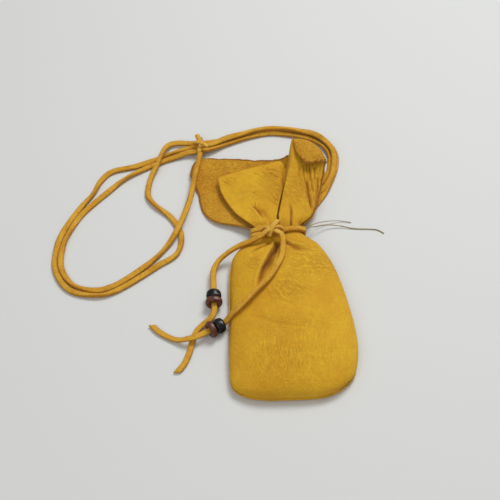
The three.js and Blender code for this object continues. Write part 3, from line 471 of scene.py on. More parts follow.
# centre, size, angle of the wrinkles, distance between them, height, strength in the finish
WRINKLED = [
    ((12, 33), (17, 14), -7, 2.3, 0.11, 0.9),
    ((-19, 33), (8, 6), 4, 2.0, 0.05, 0.6),
    ((-2, 12), (12, 11), -36, 2.1, 0.08, 0.9),
    ((0, -13), (18, 6), -4, 2.3, 0.06, 0.5),
    ((-5, -32), (32, 20), 86, 2.0, 0.035, 0.5),
    ((-4, 105), (11, 9), -30, 2.6, 0.16, 1.0),
    ((-3, 90), (6, 12), -34, 1.9, 0.13, 1.0),
    ((-19, 92), (12, 7), 2, 3.1, 0.07, 0.5),
    ((-33, 104), (5, 4), -32, 1.9, 0.10, 0.8),
    ((8, 88), (7, 12), -46, 1.9, 0.14, 1.0),
    ((17, 92), (7, 17), 97, 2.6, 0.24, 1.0),
    ((20, 90), (6, 22), 102, 1.7, 0.12, 0.6),
    ((-4, 61), (16, 6), 88, 2.4, 0.12, 0.8),
    ((-4, 47), (18, 6), 96, 2.9, 0.08, 0.6),
]


def fine_wrinkles(x, y):
    """Small wrinkles where the skin was bent: on the shoulder, the middle, the lobe and the ear."""
    relief = np.zeros(x.shape)
    for k, (centre, size, angle, length, height, _) in enumerate(WRINKLED):
        relief += height * patch(x, y, centre, size) * waves(x, y, angle, length, 0.7 * k)
    return relief


def wrinkled_ways(x, y):
    """How wrinkled each place is in three ways: level, slanting down to the right, and upright."""
    ways = np.full((3,) + x.shape, 0.12)
    for centre, size, angle, _, _, strength in WRINKLED:
        way = 0 if abs(angle) < 15 else 1 if angle < 0 else 2
        ways[way] += strength * patch(x, y, centre, size)
    return np.clip(ways, 0, 1)


def soft_swells(x, y):
    """Low swells, as in leather that was carried full and has gone slack."""
    swell = 0.6 * patch(x, y, (4, 2), (16, 13)) - 0.5 * patch(x, y, (-24, 6), (9, 20))
    swell += 0.9 * patch(x, y, (-17, 36), (6, 8)) - 0.4 * patch(x, y, (20, -8), (10, 16))
    swell += 0.8 * patch(x, y, (7, 46), (7, 3)) + 0.4 * patch(x, y, (-8, -30), (22, 12))
    swell += 0.35 * waves(x, y, 12, 31, 0.4) * patch(x, y, (0, -10), (34, 34))
    return swell


print("wrinkled patches", len(WRINKLED))

# %% [markdown]
# The folds are pressed in along the surface's own normal, so a fold on the ear's steep side is as
# deep as one on the flat body. Before that the crease is drawn shut. After it the seam draws the
# front's rim down on the back.

# %% Pressing the folds in
def close_crease(grid):
    """Draws the leather on both sides in towards the crease of the mouth, so that it closes."""
    x, y = grid[..., 0], grid[..., 1]
    at_y, at_x = np.array(CREASE).T
    middle = np.interp(y, at_y, at_x)
    fade = smooth_step(y, 58, 64) * (1 - smooth_step(y, 92, 110))
    away = x - middle
    grid = grid.copy()
    grid[..., 0] = middle + away * (1 - 0.85 * fade * np.exp(-((away / 4.0) ** 2)))
    return grid


def unit(vectors):
    """The vectors, each at length 1."""
    return vectors / (np.linalg.norm(vectors, axis=-1, keepdims=True) + 1e-9)


def grid_normal(grid):
    """The normal at each place of a grid, and how square the grid's two ways are there."""
    across, along = np.gradient(grid, axis=1), np.gradient(grid, axis=0)
    normal = np.cross(across, along)
    area, wide, long = (
        np.linalg.norm(v, axis=-1, keepdims=True) for v in (normal, across, along))
    return unit(normal), area / (wide * long + 1e-9)


def press_folds(grid, folds):
    """Presses the folds into a grid and returns it with how far each place sank."""
    x, y = grid[..., 0], grid[..., 1]
    sunk = np.zeros(x.shape)
    for depth, width, start, end, lean, *lines in folds:
        for line in lines:
            sunk += fold(x, y, line, depth, width, start, end, lean)
    sunk -= fine_wrinkles(x, y)
    lift = soft_swells(x, y) * smooth_step(-np.abs(y) + 52, 0, 6)
    tied = smooth_step(y, NECK_Y - 7, NECK_Y - 4) * (1 - smooth_step(y, NECK_Y + 4, NECK_Y + 6))
    sunk = np.where(tied > 0, np.maximum(sunk, 0) * tied + sunk * (1 - tied), sunk)
    from_ends, from_sides = (np.minimum(np.arange(n), np.arange(n)[::-1]) for n in x.shape)
    edge = np.minimum(1, np.minimum(from_sides[None] / 5, (from_ends[:, None] + 3) / 5))
    moved = grid_normal(grid)[0] * ((lift - sunk) * edge)[..., None]
    # The depth kept for the finish also takes a share of the gathers, so that painted shade darkens
    # them too.
    return grid + moved, sunk + 0.22 * gather_depth(x, y)


def relax(grid, passes):
    """Smooths a grid a little and leaves its rim where it is."""
    for _ in range(passes):
        inner = (grid[:-2, 1:-1] + grid[2:, 1:-1] + grid[1:-1, :-2] + grid[1:-1, 2:]) / 4
        grid = grid.copy()
        grid[1:-1, 1:-1] = 0.5 * grid[1:-1, 1:-1] + 0.5 * inner
    return grid


front_grid, front_sunk = press_folds(close_crease(relax(front_grid, 8)), BODY_FOLDS + MOUTH_FOLDS)
SEWN_DOWN, SEWN_REACH = 0.34, 8
sewn = SEWN_DOWN * (1 - smooth_step(front_rows, 11, 13))
for k in range(SEWN_REACH):
    share = (1 - k / SEWN_REACH) ** 2
    front_grid[:, [k, -1 - k], 2] -= sewn[:, None] * share
    front_grid[k, SEWN_REACH:-SEWN_REACH, 2] -= SEWN_DOWN * share
print("deepest fold", round(float(front_sunk.max()), 2), "mm")

# %% [markdown]
# The mouth was cut with scissors and has frayed since. Its edge wanders in and out by a few tenths
# of a millimetre, more at the ear and along the top of the back flap than at the lobe. A fixed seed
# gives the same fray each time.

# %% Frayed edges
def wander(count, rng):
    """Noise along an edge, long waves and short ones together, about 1 at most."""
    total = np.zeros(count)
    for width, share in ((1, 0.4), (3, 0.45), (8, 0.5)):
        window = np.hanning(2 * width + 3)
        raw = np.convolve(rng.normal(size=count + 4 * width + 8), window, "same")
        total += share * raw[2 * width + 4:][:count] / np.sqrt((window**2).sum())
    return total / 1.4


def frayed(grid, rows, columns, top, left, right, seed):
    """Frays the mouth's rim; top is (place across, amount) pairs, left and right are amounts."""
    rng = np.random.default_rng(seed)
    grid = grid.copy()
    above = smooth_step(rows, 13.2, 14.5)
    at, amount = np.array(top, float).T
    reach = 7
    push = wander(len(columns), rng) * np.interp(columns, at, amount)
    rise = wander(len(columns), rng) * np.interp(columns, at, amount) * 0.5
    way = unit(grid[-1] - grid[-4])
    for k in range(reach):
        fade = (1 - k / reach) ** 1.5
        grid[-1 - k] += way * (push * fade)[:, None]
        grid[-1 - k, :, 2] += rise * fade
    for column, inwards, amount in ((0, 1, left), (-1, -1, right)):
        push = wander(len(rows), rng) * amount * above
        way = unit(grid[:, column] - grid[:, column + 3 * inwards])
        for k in range(reach):
            grid[:, column + k * inwards] += way * (push * (1 - k / reach) ** 1.5)[:, None]
    grid[..., 2] = np.maximum(grid[..., 2], 0.02)
    return grid


front_grid = frayed(front_grid, front_rows, front_columns,
                    [(0, 0.15), (3, 0.25), (4.5, 0.35), (6, 0.75), (9, 0.75)], 0.1, 0.35, 3)
# The back flap lies in low waves where it is clear of the table.
back_x, back_y, back_z = back_grid[..., 0], back_grid[..., 1], back_grid[..., 2]
flap_wave = 0.35 * waves(back_x, back_y, 76, 17, 1.0) + 0.22 * waves(back_x, back_y, 8, 9, 2.0)
back_grid[..., 2] += flap_wave * smooth_step(back_y, 78, 92) * smooth_step(back_z, 0.1, 1.2)
back_grid = frayed(relax(back_grid, 8), back_rows, back_columns,
                   [(0, 0.3), (1, 0.5), (4, 0.6), (7, 0.4)], 0.35, 0.3, 11)
print("back flap is up to", round(float(back_grid[-1, :, 1].max()), 1), "mm along the table")

# %% [markdown]
# ## The panels as sheets with thickness
#
# Solidify could thicken the loft, but the three sides of cut leather look different: the grain
# outside, the napped flesh side inside, and the pale cut between them. So the sheet is built with
# those three sides as materials of its own, and its rim is rounded in steps. Up to the neck the cut
# is turned in, so there the inside and the rim show grain.

# %% Leather sheet
TURNED_ROWS = 12


def keep(mesh, name, values, kind="FLOAT"):
    """Keeps a value, or a vector, at each point of a mesh."""
    data = mesh.attributes.new(name, kind, "POINT").data
    field = "vector" if kind == "FLOAT_VECTOR" else "value"
    data.foreach_set(field, np.ascontiguousarray(values, dtype=np.float32).ravel())


def leather_sheet(name, grid, rows, thickness, side, sunk):
    """A closed sheet of leather from a grid of points in mm; side is where its inside lies."""
    count_rows, count_columns = grid.shape[:2]
    normal, squareness = grid_normal(grid)
    # In the two corners of the seam the grid's two ways run along one line, so the sheet is taken
    # as flat there.
    flat = (1 - smooth_step(squareness, 0.2, 0.7)) * (1 - smooth_step(rows, 6, 10))[:, None, None]
    inside = grid + unit(normal * (1 - flat) + np.array((0, 0, 1)) * flat) * side * thickness
    index = np.arange(count_rows * count_columns).reshape(count_rows, count_columns)
    rim = np.concatenate([index[0], index[1:, -1], index[-1, -2::-1], index[-2:0:-1, 0]])
    flat_out, flat_in = grid.reshape(-1, 3), inside.reshape(-1, 3)
    rim_row, rim_column = np.divmod(rim, count_columns)
    beside = np.clip(rim_row, 1, count_rows - 2), np.clip(rim_column, 1, count_columns - 2)
    outwards = unit(flat_out[rim] - grid[beside])
    rounds = []
    tucked = 0.55 * (1 - smooth_step(rows[rim_row], TURNED_ROWS - 1, TURNED_ROWS))
    for share, out in ((0.12, 0.16), (0.5, 0.26), (0.88, 0.16)):
        ring = flat_out[rim] * (1 - share) + flat_in[rim] * share + outwards * out * thickness
        ring[:, 2] += side * share * tucked
        rounds.append(ring)
    points = np.concatenate([flat_out, flat_in] + rounds)
    offset = count_rows * count_columns
    a, b = index[:-1, :-1].ravel(), index[:-1, 1:].ravel()
    c, d = index[1:, 1:].ravel(), index[1:, :-1].ravel()
    outer = np.stack([a, b, c, d], 1)
    inner = np.stack([a, d, c, b], 1) + offset
    rings = [rim] + [2 * offset + k * len(rim) + np.arange(len(rim)) for k in range(3)]
    rings.append(rim + offset)
    faces = np.concatenate([outer, inner] + [
        np.stack([low, high, np.roll(high, -1), np.roll(low, -1)], 1)
        for low, high in zip(rings[:-1], rings[1:])
    ])
    if side > 0:
        faces = faces[:, ::-1]
    mesh = bpy.data.meshes.new(name)
    mesh.from_pydata((points * MM).tolist(), [], faces.tolist())
    turned_in = np.repeat(rows[:-1] < TURNED_ROWS, count_columns - 1)
    wall_kind = np.tile(np.where(rows[rim_row] < TURNED_ROWS, 0, 2), 4)
    kinds = np.concatenate([np.zeros(len(outer)), np.where(turned_in, 0, 1), wall_kind])
    mesh.polygons.foreach_set("material_index", kinds.astype(np.int32))
    mesh.polygons.foreach_set("use_smooth", np.ones(len(faces), bool))
    steps_across = np.linalg.norm(np.diff(grid, axis=1, prepend=grid[:, :1]), axis=-1)
    steps_along = np.linalg.norm(np.diff(grid, axis=0, prepend=grid[:1]), axis=-1)
    run_across, run_along = np.cumsum(steps_across, axis=1), np.cumsum(steps_along, axis=0)
    sides = np.minimum(run_across, run_across[:, -1:] - run_across)
    sides += 9 * (rows < TURNED_ROWS + 0.5)[:, None]
    from_edge = np.minimum(sides, run_along[-1:] - run_along)
    fields = (sunk, from_edge, *wrinkled_ways(grid[..., 0], grid[..., 1]))
    for label, field in zip(("sunk", "from_edge", "level", "slanted", "upright"), fields):
        keep(mesh, label, np.concatenate([field.ravel()] * 2 + [field.ravel()[rim]] * 3))
    mesh.update()
    piece = placed(name, mesh)
    print(name, len(mesh.polygons), "faces")
    return piece


front_leather = leather_sheet("front_leather", front_grid, front_rows, LEATHER, -1, front_sunk)
back_leather = leather_sheet(
    "back_leather", back_grid, back_rows, LEATHER, 1, np.zeros(back_grid.shape[:2]))
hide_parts("front_panel")
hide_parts("back_panel")
for piece, slot in ((front_leather, "grain_leather"), (back_leather, "back_leather")):
    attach(piece, "pouch")

# %% [markdown]
# ## Laces
#
# A lace is a strip cut from the same hide, 3.6 mm wide and 2.1 mm thick. It rolls over from its
# flat to its edge and back as it lies, and its width varies with the cutting. It follows a path, so
# a Geometry Nodes tree sweeps it: the path is a chain of points, and each point carries the way
# that the strip is wide and how much it swells. The same tree then makes the wraps and the knots.

# %% Geometry Nodes tree of a lace
def add_node(tree, kind, feeds, **settings):
    """A new node, its inputs fed with values or from the outputs of other nodes."""
    made = tree.nodes.new(kind)
    for name, value in settings.items():
        setattr(made, name, value)
    for name, value in feeds.items():
        if isinstance(value, bpy.types.NodeSocket):
            tree.links.new(value, made.inputs[name])
        else:
            made.inputs[name].default_value = value
    return made


def lace_tree():
    """A strip with rounded edges along a chain of points."""
    tree = bpy.data.node_groups.new("lace", "GeometryNodeTree")
    face = tree.interface
    face.new_socket("Geometry", in_out="INPUT", socket_type="NodeSocketGeometry")
    for name, kind in (("Width", "Float"), ("Thickness", "Float"), ("Unevenness", "Float"),
                       ("Seed", "Int"), ("Finish", "Material")):
        face.new_socket(name, in_out="INPUT", socket_type="NodeSocket" + kind)
    face.new_socket("Geometry", in_out="OUTPUT", socket_type="NodeSocketGeometry")

    def add(kind, feeds, **settings):
        return add_node(tree, kind, feeds, **settings).outputs

    def attribute(name, kind):
        return add("GeometryNodeInputNamedAttribute", {"Name": name}, data_type=kind)["Attribute"]

    def stored(geometry, name, value, kind):
        return add(
            "GeometryNodeStoreNamedAttribute", {"Geometry": geometry, "Name": name, "Value": value},
            data_type=kind, domain="POINT")[0]

    given = add("NodeGroupInput", {})
    chain = add("GeometryNodeMeshToCurve", {"Mesh": given["Geometry"]})[0]
    chain = add(
        "GeometryNodeSetCurveNormal",
        {"Curve": chain, "Normal": attribute("wide", "FLOAT_VECTOR")}, mode="FREE")[0]
    chain = add(
        "GeometryNodeSetCurveRadius", {"Curve": chain, "Radius": attribute("swell", "FLOAT")})[0]
    run = add("GeometryNodeSplineParameter", {})["Length"]
    chain = stored(chain, "along", run, "FLOAT")

    section = add(
        "GeometryNodeCurvePrimitiveQuadrilateral",
        {"Width": given["Width"], "Height": given["Thickness"]})[0]
    corner = add("ShaderNodeMath", {0: given["Thickness"], 1: 0.46}, operation="MULTIPLY")[0]
    section = add(
        "GeometryNodeFilletCurve", {"Curve": section, "Radius": corner, "Count": 3}, mode="POLY")[0]
    section = stored(
        section, "section", add("GeometryNodeInputPosition", {})[0], "FLOAT_VECTOR")
    lace = add(
        "GeometryNodeCurveToMesh", {"Curve": chain, "Profile Curve": section, "Fill Caps": True})[0]

    rough = add(
        "ShaderNodeTexNoise", {"Scale": 420, "Detail": 2, "W": given["Seed"]},
        noise_dimensions="4D")["Fac"]
    rough = add("ShaderNodeMath", {0: rough, 1: 0.5}, operation="SUBTRACT")[0]
    rough = add("ShaderNodeMath", {0: rough, 1: given["Unevenness"]}, operation="MULTIPLY")[0]
    push = add(
        "ShaderNodeVectorMath", {0: add("GeometryNodeInputNormal", {})[0], "Scale": rough},
        operation="SCALE")[0]
    lace = add("GeometryNodeSetPosition", {"Geometry": lace, "Offset": push})[0]
    lace = add("GeometryNodeSetShadeSmooth", {"Geometry": lace})[0]
    lace = add("GeometryNodeRealizeInstances", {"Geometry": lace})[0]
    lace = add("GeometryNodeSetMaterial", {"Geometry": lace, "Material": given["Finish"]})[0]
    add("NodeGroupOutput", {"Geometry": lace})
    return tree


LACE_TREE = lace_tree()
print("lace tree", len(LACE_TREE.nodes), "nodes")

# %% [markdown]
# To sweep a piece, its points go into a mesh, the tree runs on it, and the result is kept as a
# plain mesh, because the modifier has to be gone before the piece is handed to the frame.

# %% Sweeping a lace
LACE_WIDTH, LACE_THICKNESS = 3.6, 2.1


def sweep_lace(name, path, wide, swell, finish, width=LACE_WIDTH, thickness=LACE_THICKNESS,
               seed=0, uneven=0.16):
    """A lace along points in mm: wide is the way it is wide, and swell its share of full size."""
    mesh = bpy.data.meshes.new(name)
    mesh.from_pydata((path * MM).tolist(), [(k, k + 1) for k in range(len(path) - 1)], [])
    keep(mesh, "wide", wide, "FLOAT_VECTOR")
    keep(mesh, "swell", swell)
    chain = placed(name + "_chain", mesh)
    modifier = chain.modifiers.new("lace", "NODES")
    modifier.node_group = LACE_TREE
    values = {"Width": width * MM, "Thickness": thickness * MM, "Unevenness": uneven * MM,
              "Seed": seed, "Finish": finish}
    for item in LACE_TREE.interface.items_tree:
        if item.in_out == "INPUT" and item.name in values:
            modifier[item.identifier] = values[item.name]
    bpy.context.view_layer.update()
    seen = chain.evaluated_get(bpy.context.evaluated_depsgraph_get())
    swept = bpy.data.meshes.new_from_object(seen)
    swept.name = name
    bpy.data.objects.remove(chain)
    return placed(name, swept)

# %% [markdown]
# A lace lies on its flat or leans towards its edge, and what lies on the table has to touch it. So
# the lean decides the height: the lower the strip's section is at a place, the lower its middle.

# %% How a lace lies
def strip_directions(path, lean):
    """The way the strip is wide at each point: level across the path, then leaned about it."""
    way = unit(np.gradient(path, axis=0))
    level = unit(np.stack([way[:, 1], -way[:, 0], np.zeros(len(way))], axis=1))
    up = np.cross(level, way)
    return level * np.cos(lean)[:, None] + up * np.sin(lean)[:, None]


def lying_lace(points, seed, most, end_swell):
    """Path, wide directions, swell and length in mm of a lace that lies in loose bends.

    The strip rolls slowly from flat towards its edge and back, by the most degrees at most.
    """
    path, length = even_route(points, 1.0)
    s = np.linspace(0, length, len(path))
    towards_end = smooth_step(s, length - 37, length - 20) * (end_swell > 1)
    roll = np.sin(s * 2 * np.pi / 67 + seed) + 0.6 * np.sin(s * 2 * np.pi / 29 + 2.1 * seed)
    lean = np.radians(most) * roll / 1.6 * (1 - 0.75 * towards_end)
    half = np.hypot(LACE_THICKNESS / 2 * np.cos(lean), LACE_WIDTH / 2 * np.sin(lean)) + 0.22
    x, y, z = path.T
    free = np.maximum(smooth_step(-x, 62, 76), smooth_step(y, 131, 136))
    free = np.maximum(free, smooth_step(x, 20, 26) * smooth_step(y, 90, 100))
    free = np.maximum(free, smooth_step(1.8 - z, 0, 0.2))
    lower = (ROUTE_REST - half) * (1 + np.maximum(z - ROUTE_REST, 0) / 3)
    path[:, 2] = z - free * lower
    swell = 1 + 0.06 * np.sin(s / 7.1 + seed) + 0.04 * np.sin(s / 2.9 + 3 * seed)
    swell *= 1 + (end_swell - 1) * towards_end
    return path, strip_directions(path, lean), swell, length


def trim_end(piece, path, wide, swell, slant):
    """Presses a lace flat where it swells, so that it grows wider and not thicker, then cuts its
    end at an angle, as scissors do: one edge of the strip ends farther on."""
    mesh = piece.data
    points = np.empty(len(mesh.vertices) * 3)
    mesh.vertices.foreach_get("co", points)
    points = points.reshape(-1, 3)
    nearest = np.argmin(np.linalg.norm(points[:, None] - path[None] * MM, axis=2), axis=1)
    thin = unit(np.cross(np.gradient(path, axis=0), wide))[nearest]
    height = ((points - path[nearest] * MM) * thin).sum(1)
    points -= thin * (height * (1 - 1 / np.maximum(swell[nearest], 1.0) ** 1.15))[:, None]
    end, across, way = path[-1] * MM, unit(wide[-1]), unit(path[-1] - path[-3])
    ahead = (points - end) @ way
    near = (np.linalg.norm(points - end, axis=1) < 0.004) & (ahead > -0.0025)
    share = np.clip((ahead + 0.0025) / 0.0025, 0, 1) * near
    points += way * (((points - end) @ across) * slant * share)[:, None]
    mesh.vertices.foreach_set("co", points.ravel())
    mesh.update()

# %% [markdown]
# ## Finishes
#
# Every finish is a small shader of noises and bumps. Written out node by node it would hide what it
# does, so a value in the tree is wrapped in a class whose plus, minus and times add the Math nodes,
# and a finish then reads as a formula.

# %% Shader formulas
class Wire:
    """A value or colour in a shader tree, with arithmetic."""

    def __init__(self, finish, socket):
        self.finish, self.socket = finish, socket

    def math(self, operation, *others):
        return self.finish.wire(
            "ShaderNodeMath", dict(enumerate((self, *others))), operation=operation)

    def __add__(self, other):
        return self.math("ADD", other)

    def __sub__(self, other):
        return self.math("SUBTRACT", other)

    def __mul__(self, other):
        return self.math("MULTIPLY", other)

    def clamp(self):
        return self.math("MAXIMUM", 0.0).math("MINIMUM", 1.0)

    def between(self, low, high):
        """0 below low, 1 above high and smooth between them."""
        return self.finish.wire(
            "ShaderNodeMapRange", dict(enumerate((self, low, high, 0.0, 1.0))),
            interpolation_type="SMOOTHSTEP")


class Finish:
    """A material that is built up from formulas."""

    def __init__(self, name):
        self.material = bpy.data.materials.new(name)
        self.material.use_nodes = True
        self.shader = self.material.node_tree.nodes["Principled BSDF"]
        self.coords = self.wire("ShaderNodeTexCoord", {}, "Object")

    def wire(self, kind, feeds, output=0, **settings):
        """An output of a new node, its inputs fed with values and wires."""
        plain = {
            name: value.socket if isinstance(value, Wire) else value
            for name, value in feeds.items()
        }
        made = add_node(self.material.node_tree, kind, plain, **settings)
        return Wire(self, made.outputs[output])

    def attribute(self, name, output="Fac"):
        return self.wire("ShaderNodeAttribute", {}, output, attribute_name=name)

    def stretched(self, scale):
        """Object coordinates with each axis scaled, for grain that runs one way."""
        return self.wire("ShaderNodeVectorMath", {0: self.coords, 1: scale}, operation="MULTIPLY")

    def turned(self, angle, length):
        """Object coordinates turned about Z and drawn out that way, for wrinkles that lie so."""
        feeds = {"Vector": self.coords, "Rotation": (0, 0, math.radians(angle)),
                 "Scale": (length, 1, 1)}
        return self.wire("ShaderNodeMapping", feeds, vector_type="TEXTURE")

    def wrinkles(self, angle, scale):
        """1 in thin wandering wrinkles that lie at an angle, and 0 between them."""
        wave = self.noise(scale, 2, 0.55, self.turned(angle, 4.5), 0.5)
        return (wave - 0.5).math("ABSOLUTE").between(0.0, 0.1) * -1.0 + 1.0

    def noise(self, scale, detail=2.0, roughness=0.5, where=None, distortion=0.0):
        feeds = {"Vector": where or self.coords, "Scale": scale, "Detail": detail,
                 "Roughness": roughness, "Distortion": distortion}
        return self.wire("ShaderNodeTexNoise", feeds, "Fac")

    def cells(self, scale):
        return self.wire(
            "ShaderNodeTexVoronoi", {"Vector": self.coords, "Scale": scale}, "Distance")

    def mix(self, share, low, high):
        feeds = {0: share, 6: low, 7: high}
        return self.wire("ShaderNodeMix", feeds, 2, data_type="RGBA")

    def bump(self, height, depth):
        """A bump of that depth in metres."""
        feeds = {"Strength": 1.0, "Distance": depth, "Height": height}
        return self.wire("ShaderNodeBump", feeds, "Normal")

    def done(self, colour, roughness, normal=None, **steady):
        """The material, from its wires and from the values that are the same everywhere."""
        for name, value in (("Base Color", colour), ("Roughness", roughness), ("Normal", normal),
                            *((name.replace("_", " "), value) for name, value in steady.items())):
            if isinstance(value, Wire):
                self.material.node_tree.links.new(value.socket, self.shader.inputs[name])
            elif value is not None:
                self.shader.inputs[name].default_value = value
        return self.material


def rgb(red, green, blue):
    """A colour as a screen shows it, 0 to 255, as the shader wants it."""
    def linear(c):
        c /= 255
        return c / 12.92 if c <= 0.04045 else ((c + 0.055) / 1.055) ** 2.4
    return linear(red), linear(green), linear(blue), 1

# %% [markdown]
# ### Golden deerskin
#
# Smoked deerskin is soft and dull. Its grain side is a golden yellow with a faint bloom. Under
# that lie clouds a few centimetres wide, a fine pebble of under a millimetre, and short dry
# wrinkles. Shade is painted into every fold, into the wrinkles' lines and along the mouth's
# rolled rim, and a highlight is painted onto the ridges.

# %% Grain side
def grain_finish():
    finish = Finish("golden_deerskin_grain")
    clouds = finish.noise(34, 3, 0.55)
    mottle = finish.noise(190, 3, 0.6)
    pebble = finish.cells(950)
    pores = finish.noise(2000, 2, 0.6)
    level = finish.wrinkles(-6, 740) * finish.attribute("level")
    slanted = finish.wrinkles(-38, 800) * finish.attribute("slanted")
    upright = finish.wrinkles(93, 840) * finish.attribute("upright")
    anyhow = finish.noise(560, 3, 0.65, None, 0.8)
    wrinkled = (level + slanted + upright).clamp()
    sunk = finish.attribute("sunk")
    edge = finish.attribute("from_edge")
    base = finish.mix(clouds.between(0.3, 0.72), rgb(212, 157, 27), rgb(226, 178, 37))
    base = finish.mix(mottle.between(0.35, 0.75) * 0.4, base, rgb(205, 146, 28))
    base = finish.mix(anyhow.between(0.5, 0.72) * 0.3, base, rgb(232, 190, 62))
    # Painted shade in the lines of the fine wrinkles.
    base = finish.mix(wrinkled * 0.42, base, rgb(172, 108, 16))
    base = finish.mix(pores.between(0.55, 0.8) * 0.3, base, rgb(176, 116, 24))
    # Painted shade: the deeper a place has sunk in a fold or gather, the darker it is.
    base = finish.mix(sunk.between(0.1, 1.1) * 0.72, base, rgb(160, 92, 14))
    base = finish.mix(sunk.between(0.9, 2.3) * 0.8, base, rgb(98, 50, 14))
    # Painted highlight on the ridges and wrinkle crests that stand up.
    base = finish.mix((sunk * -1.0).between(0.05, 0.6) * 0.3, base, rgb(228, 186, 66))
    # Painted shade along the mouth's cut edge, where the rim rolls.
    base = finish.mix((edge * -1.0 + 1.1).between(0.0, 1.0) * 0.4, base, rgb(172, 110, 26))
    height = pebble * 0.3 + pores * 0.3 + anyhow * 0.9 + mottle * 0.9 - wrinkled * 0.55
    return finish.done(
        base, clouds * 0.12 + 0.66, finish.bump(height, 0.00044),
        Specular_IOR_Level=0.22, Sheen_Weight=0.1, Sheen_Roughness=0.5,
        Sheen_Tint=(1.0, 0.78, 0.4, 1))


GRAIN = grain_finish()
print("grain", len(GRAIN.node_tree.nodes), "nodes")

# %% [markdown]
# ### Flesh side
#
# The inside of the hide is napped like suede. It is more orange, has no shine at all, and its nap
# lies in small tufts that catch the light unevenly. Along the cut the fibres are loose and dark,
# and that dark band is also painted shade beside the rolled rim.

# %% Flesh side and cut edge
def suede_finish():
    finish = Finish("deerskin_flesh_side")
    clouds = finish.noise(48, 3, 0.6)
    tufts = finish.noise(680, 4, 0.75, None, 0.8)
    streaks = finish.noise(330, 3, 0.65, finish.turned(4, 4.0))
    fibres = finish.noise(1700, 3, 0.7, finish.stretched((1.0, 0.5, 1.0)))
    edge = finish.attribute("from_edge")
    base = finish.mix(clouds.between(0.3, 0.7), rgb(202, 139, 32), rgb(222, 167, 46))
    base = finish.mix(streaks.between(0.45, 0.7) * 0.35, base, rgb(214, 158, 48))
    base = finish.mix(tufts.between(0.45, 0.62) * 0.55, base, rgb(160, 96, 14))
    base = finish.mix(fibres.between(0.55, 0.8) * 0.35, base, rgb(226, 172, 70))
    # Darker towards the cut: the loose dark fibres, and painted shade beside the rolled rim.
    cut_and_painted_shade = edge + tufts * 1.6
    base = finish.mix(
        (cut_and_painted_shade * -1.0 + 2.3).between(0.0, 1.3) * 0.75, base, rgb(122, 62, 10))
    height = tufts * 1.5 + fibres * 0.5 + streaks * 0.5
    return finish.done(
        base, 0.93, finish.bump(height, 0.0007),
        Specular_IOR_Level=0.1, Sheen_Weight=0.2, Sheen_Roughness=0.6,
        Sheen_Tint=(1.0, 0.72, 0.32, 1))


def cut_finish():
    finish = Finish("deerskin_cut_edge")
    fibres = finish.noise(1300, 4, 0.7)
    base = finish.mix(fibres.between(0.35, 0.7), rgb(150, 88, 20), rgb(216, 160, 70))
    return finish.done(base, 0.95, finish.bump(fibres, 0.0004), Specular_IOR_Level=0.1)


SUEDE, CUT = suede_finish(), cut_finish()
for piece in (front_leather, back_leather):
    for material in (GRAIN, SUEDE, CUT):
        piece.data.materials.append(material)
print("leather has", len(front_leather.data.materials), "finishes")

# %% [markdown]
# ### Lace
#
# The lace is cut from the same hide, so it is smooth on one face and napped on the other, with raw
# edges. Its pattern has to follow it round every bend, so it reads how far along the lace a place
# is, and where in the strip's section.

# %% Lace finish
def lace_finish(name, dark, light, worn):
    finish = Finish(name)
    section = finish.attribute("section", "Vector")
    wide, thick = (finish.wire("ShaderNodeSeparateXYZ", {0: section}, k) for k in (0, 1))
    strip = finish.wire(
        "ShaderNodeCombineXYZ", {0: wide, 1: thick, 2: finish.attribute("along") * 0.3})
    clouds = finish.noise(90, 3, 0.6)
    fibres = finish.noise(1400, 4, 0.7, strip)
    creases = finish.noise(700, 3, 0.6, None, 0.6)
    raw = wide.math("ABSOLUTE")
    base = finish.mix(clouds.between(0.3, 0.7), dark, light)
    base = finish.mix(fibres.between(0.5, 0.75) * 0.45, base, worn)
    base = finish.mix(creases.between(0.5, 0.72) * 0.5, base, rgb(158, 94, 20))
    base = finish.mix(raw.between(0.00115, 0.00165) * 0.6, base, rgb(160, 96, 20))
    height = fibres + creases * 1.1
    return finish.done(
        base, clouds * 0.1 + 0.76, finish.bump(height, 0.0004),
        Specular_IOR_Level=0.16, Sheen_Weight=0.1, Sheen_Roughness=0.5,
        Sheen_Tint=(1.0, 0.78, 0.4, 1))


LACE = lace_finish("deerskin_lace", rgb(202, 145, 38), rgb(218, 168, 58), rgb(234, 192, 96))
# The knots' lace is a paler copy of the lace finish: a painted highlight on the knots.
KNOT_LACE_PAINTED_HIGHLIGHT = lace_finish(
    "deerskin_lace_knot_painted_highlight", rgb(210, 156, 52), rgb(226, 180, 78), rgb(240, 206, 124))
print("lace", len(LACE.node_tree.nodes), "nodes")

# %% [markdown]
# ### Thread, beads and rings
#
# The thread is waxed sinew, a dull olive tan. The black beads are glossy plastic with a soft mould
# line. The rings are turned wood, stained dark red brown, with growth rings across the end and a
# thin varnish.

# %% Thread, bead and ring finishes
def sinew_finish():
    finish = Finish("waxed_sinew")
    fibres = finish.noise(2600, 3, 0.7, finish.stretched((0.2, 1.0, 1.0)))
    base = finish.mix(fibres.between(0.3, 0.7), rgb(122, 108, 70), rgb(176, 160, 118))
    return finish.done(base, 0.5, finish.bump(fibres, 0.0001), Specular_IOR_Level=0.4)


def bead_finish():
    finish = Finish("black_bead")
    haze = finish.noise(240, 4, 0.6)
    base = finish.mix(
        haze.between(0.4, 0.8), (0.004, 0.004, 0.005, 1), (0.012, 0.011, 0.012, 1))
    return finish.done(
        base, haze * 0.16 + 0.2, finish.bump(finish.noise(500, 2), 0.00003),
        Specular_IOR_Level=0.3, Coat_Weight=0.06, Coat_Roughness=0.06)


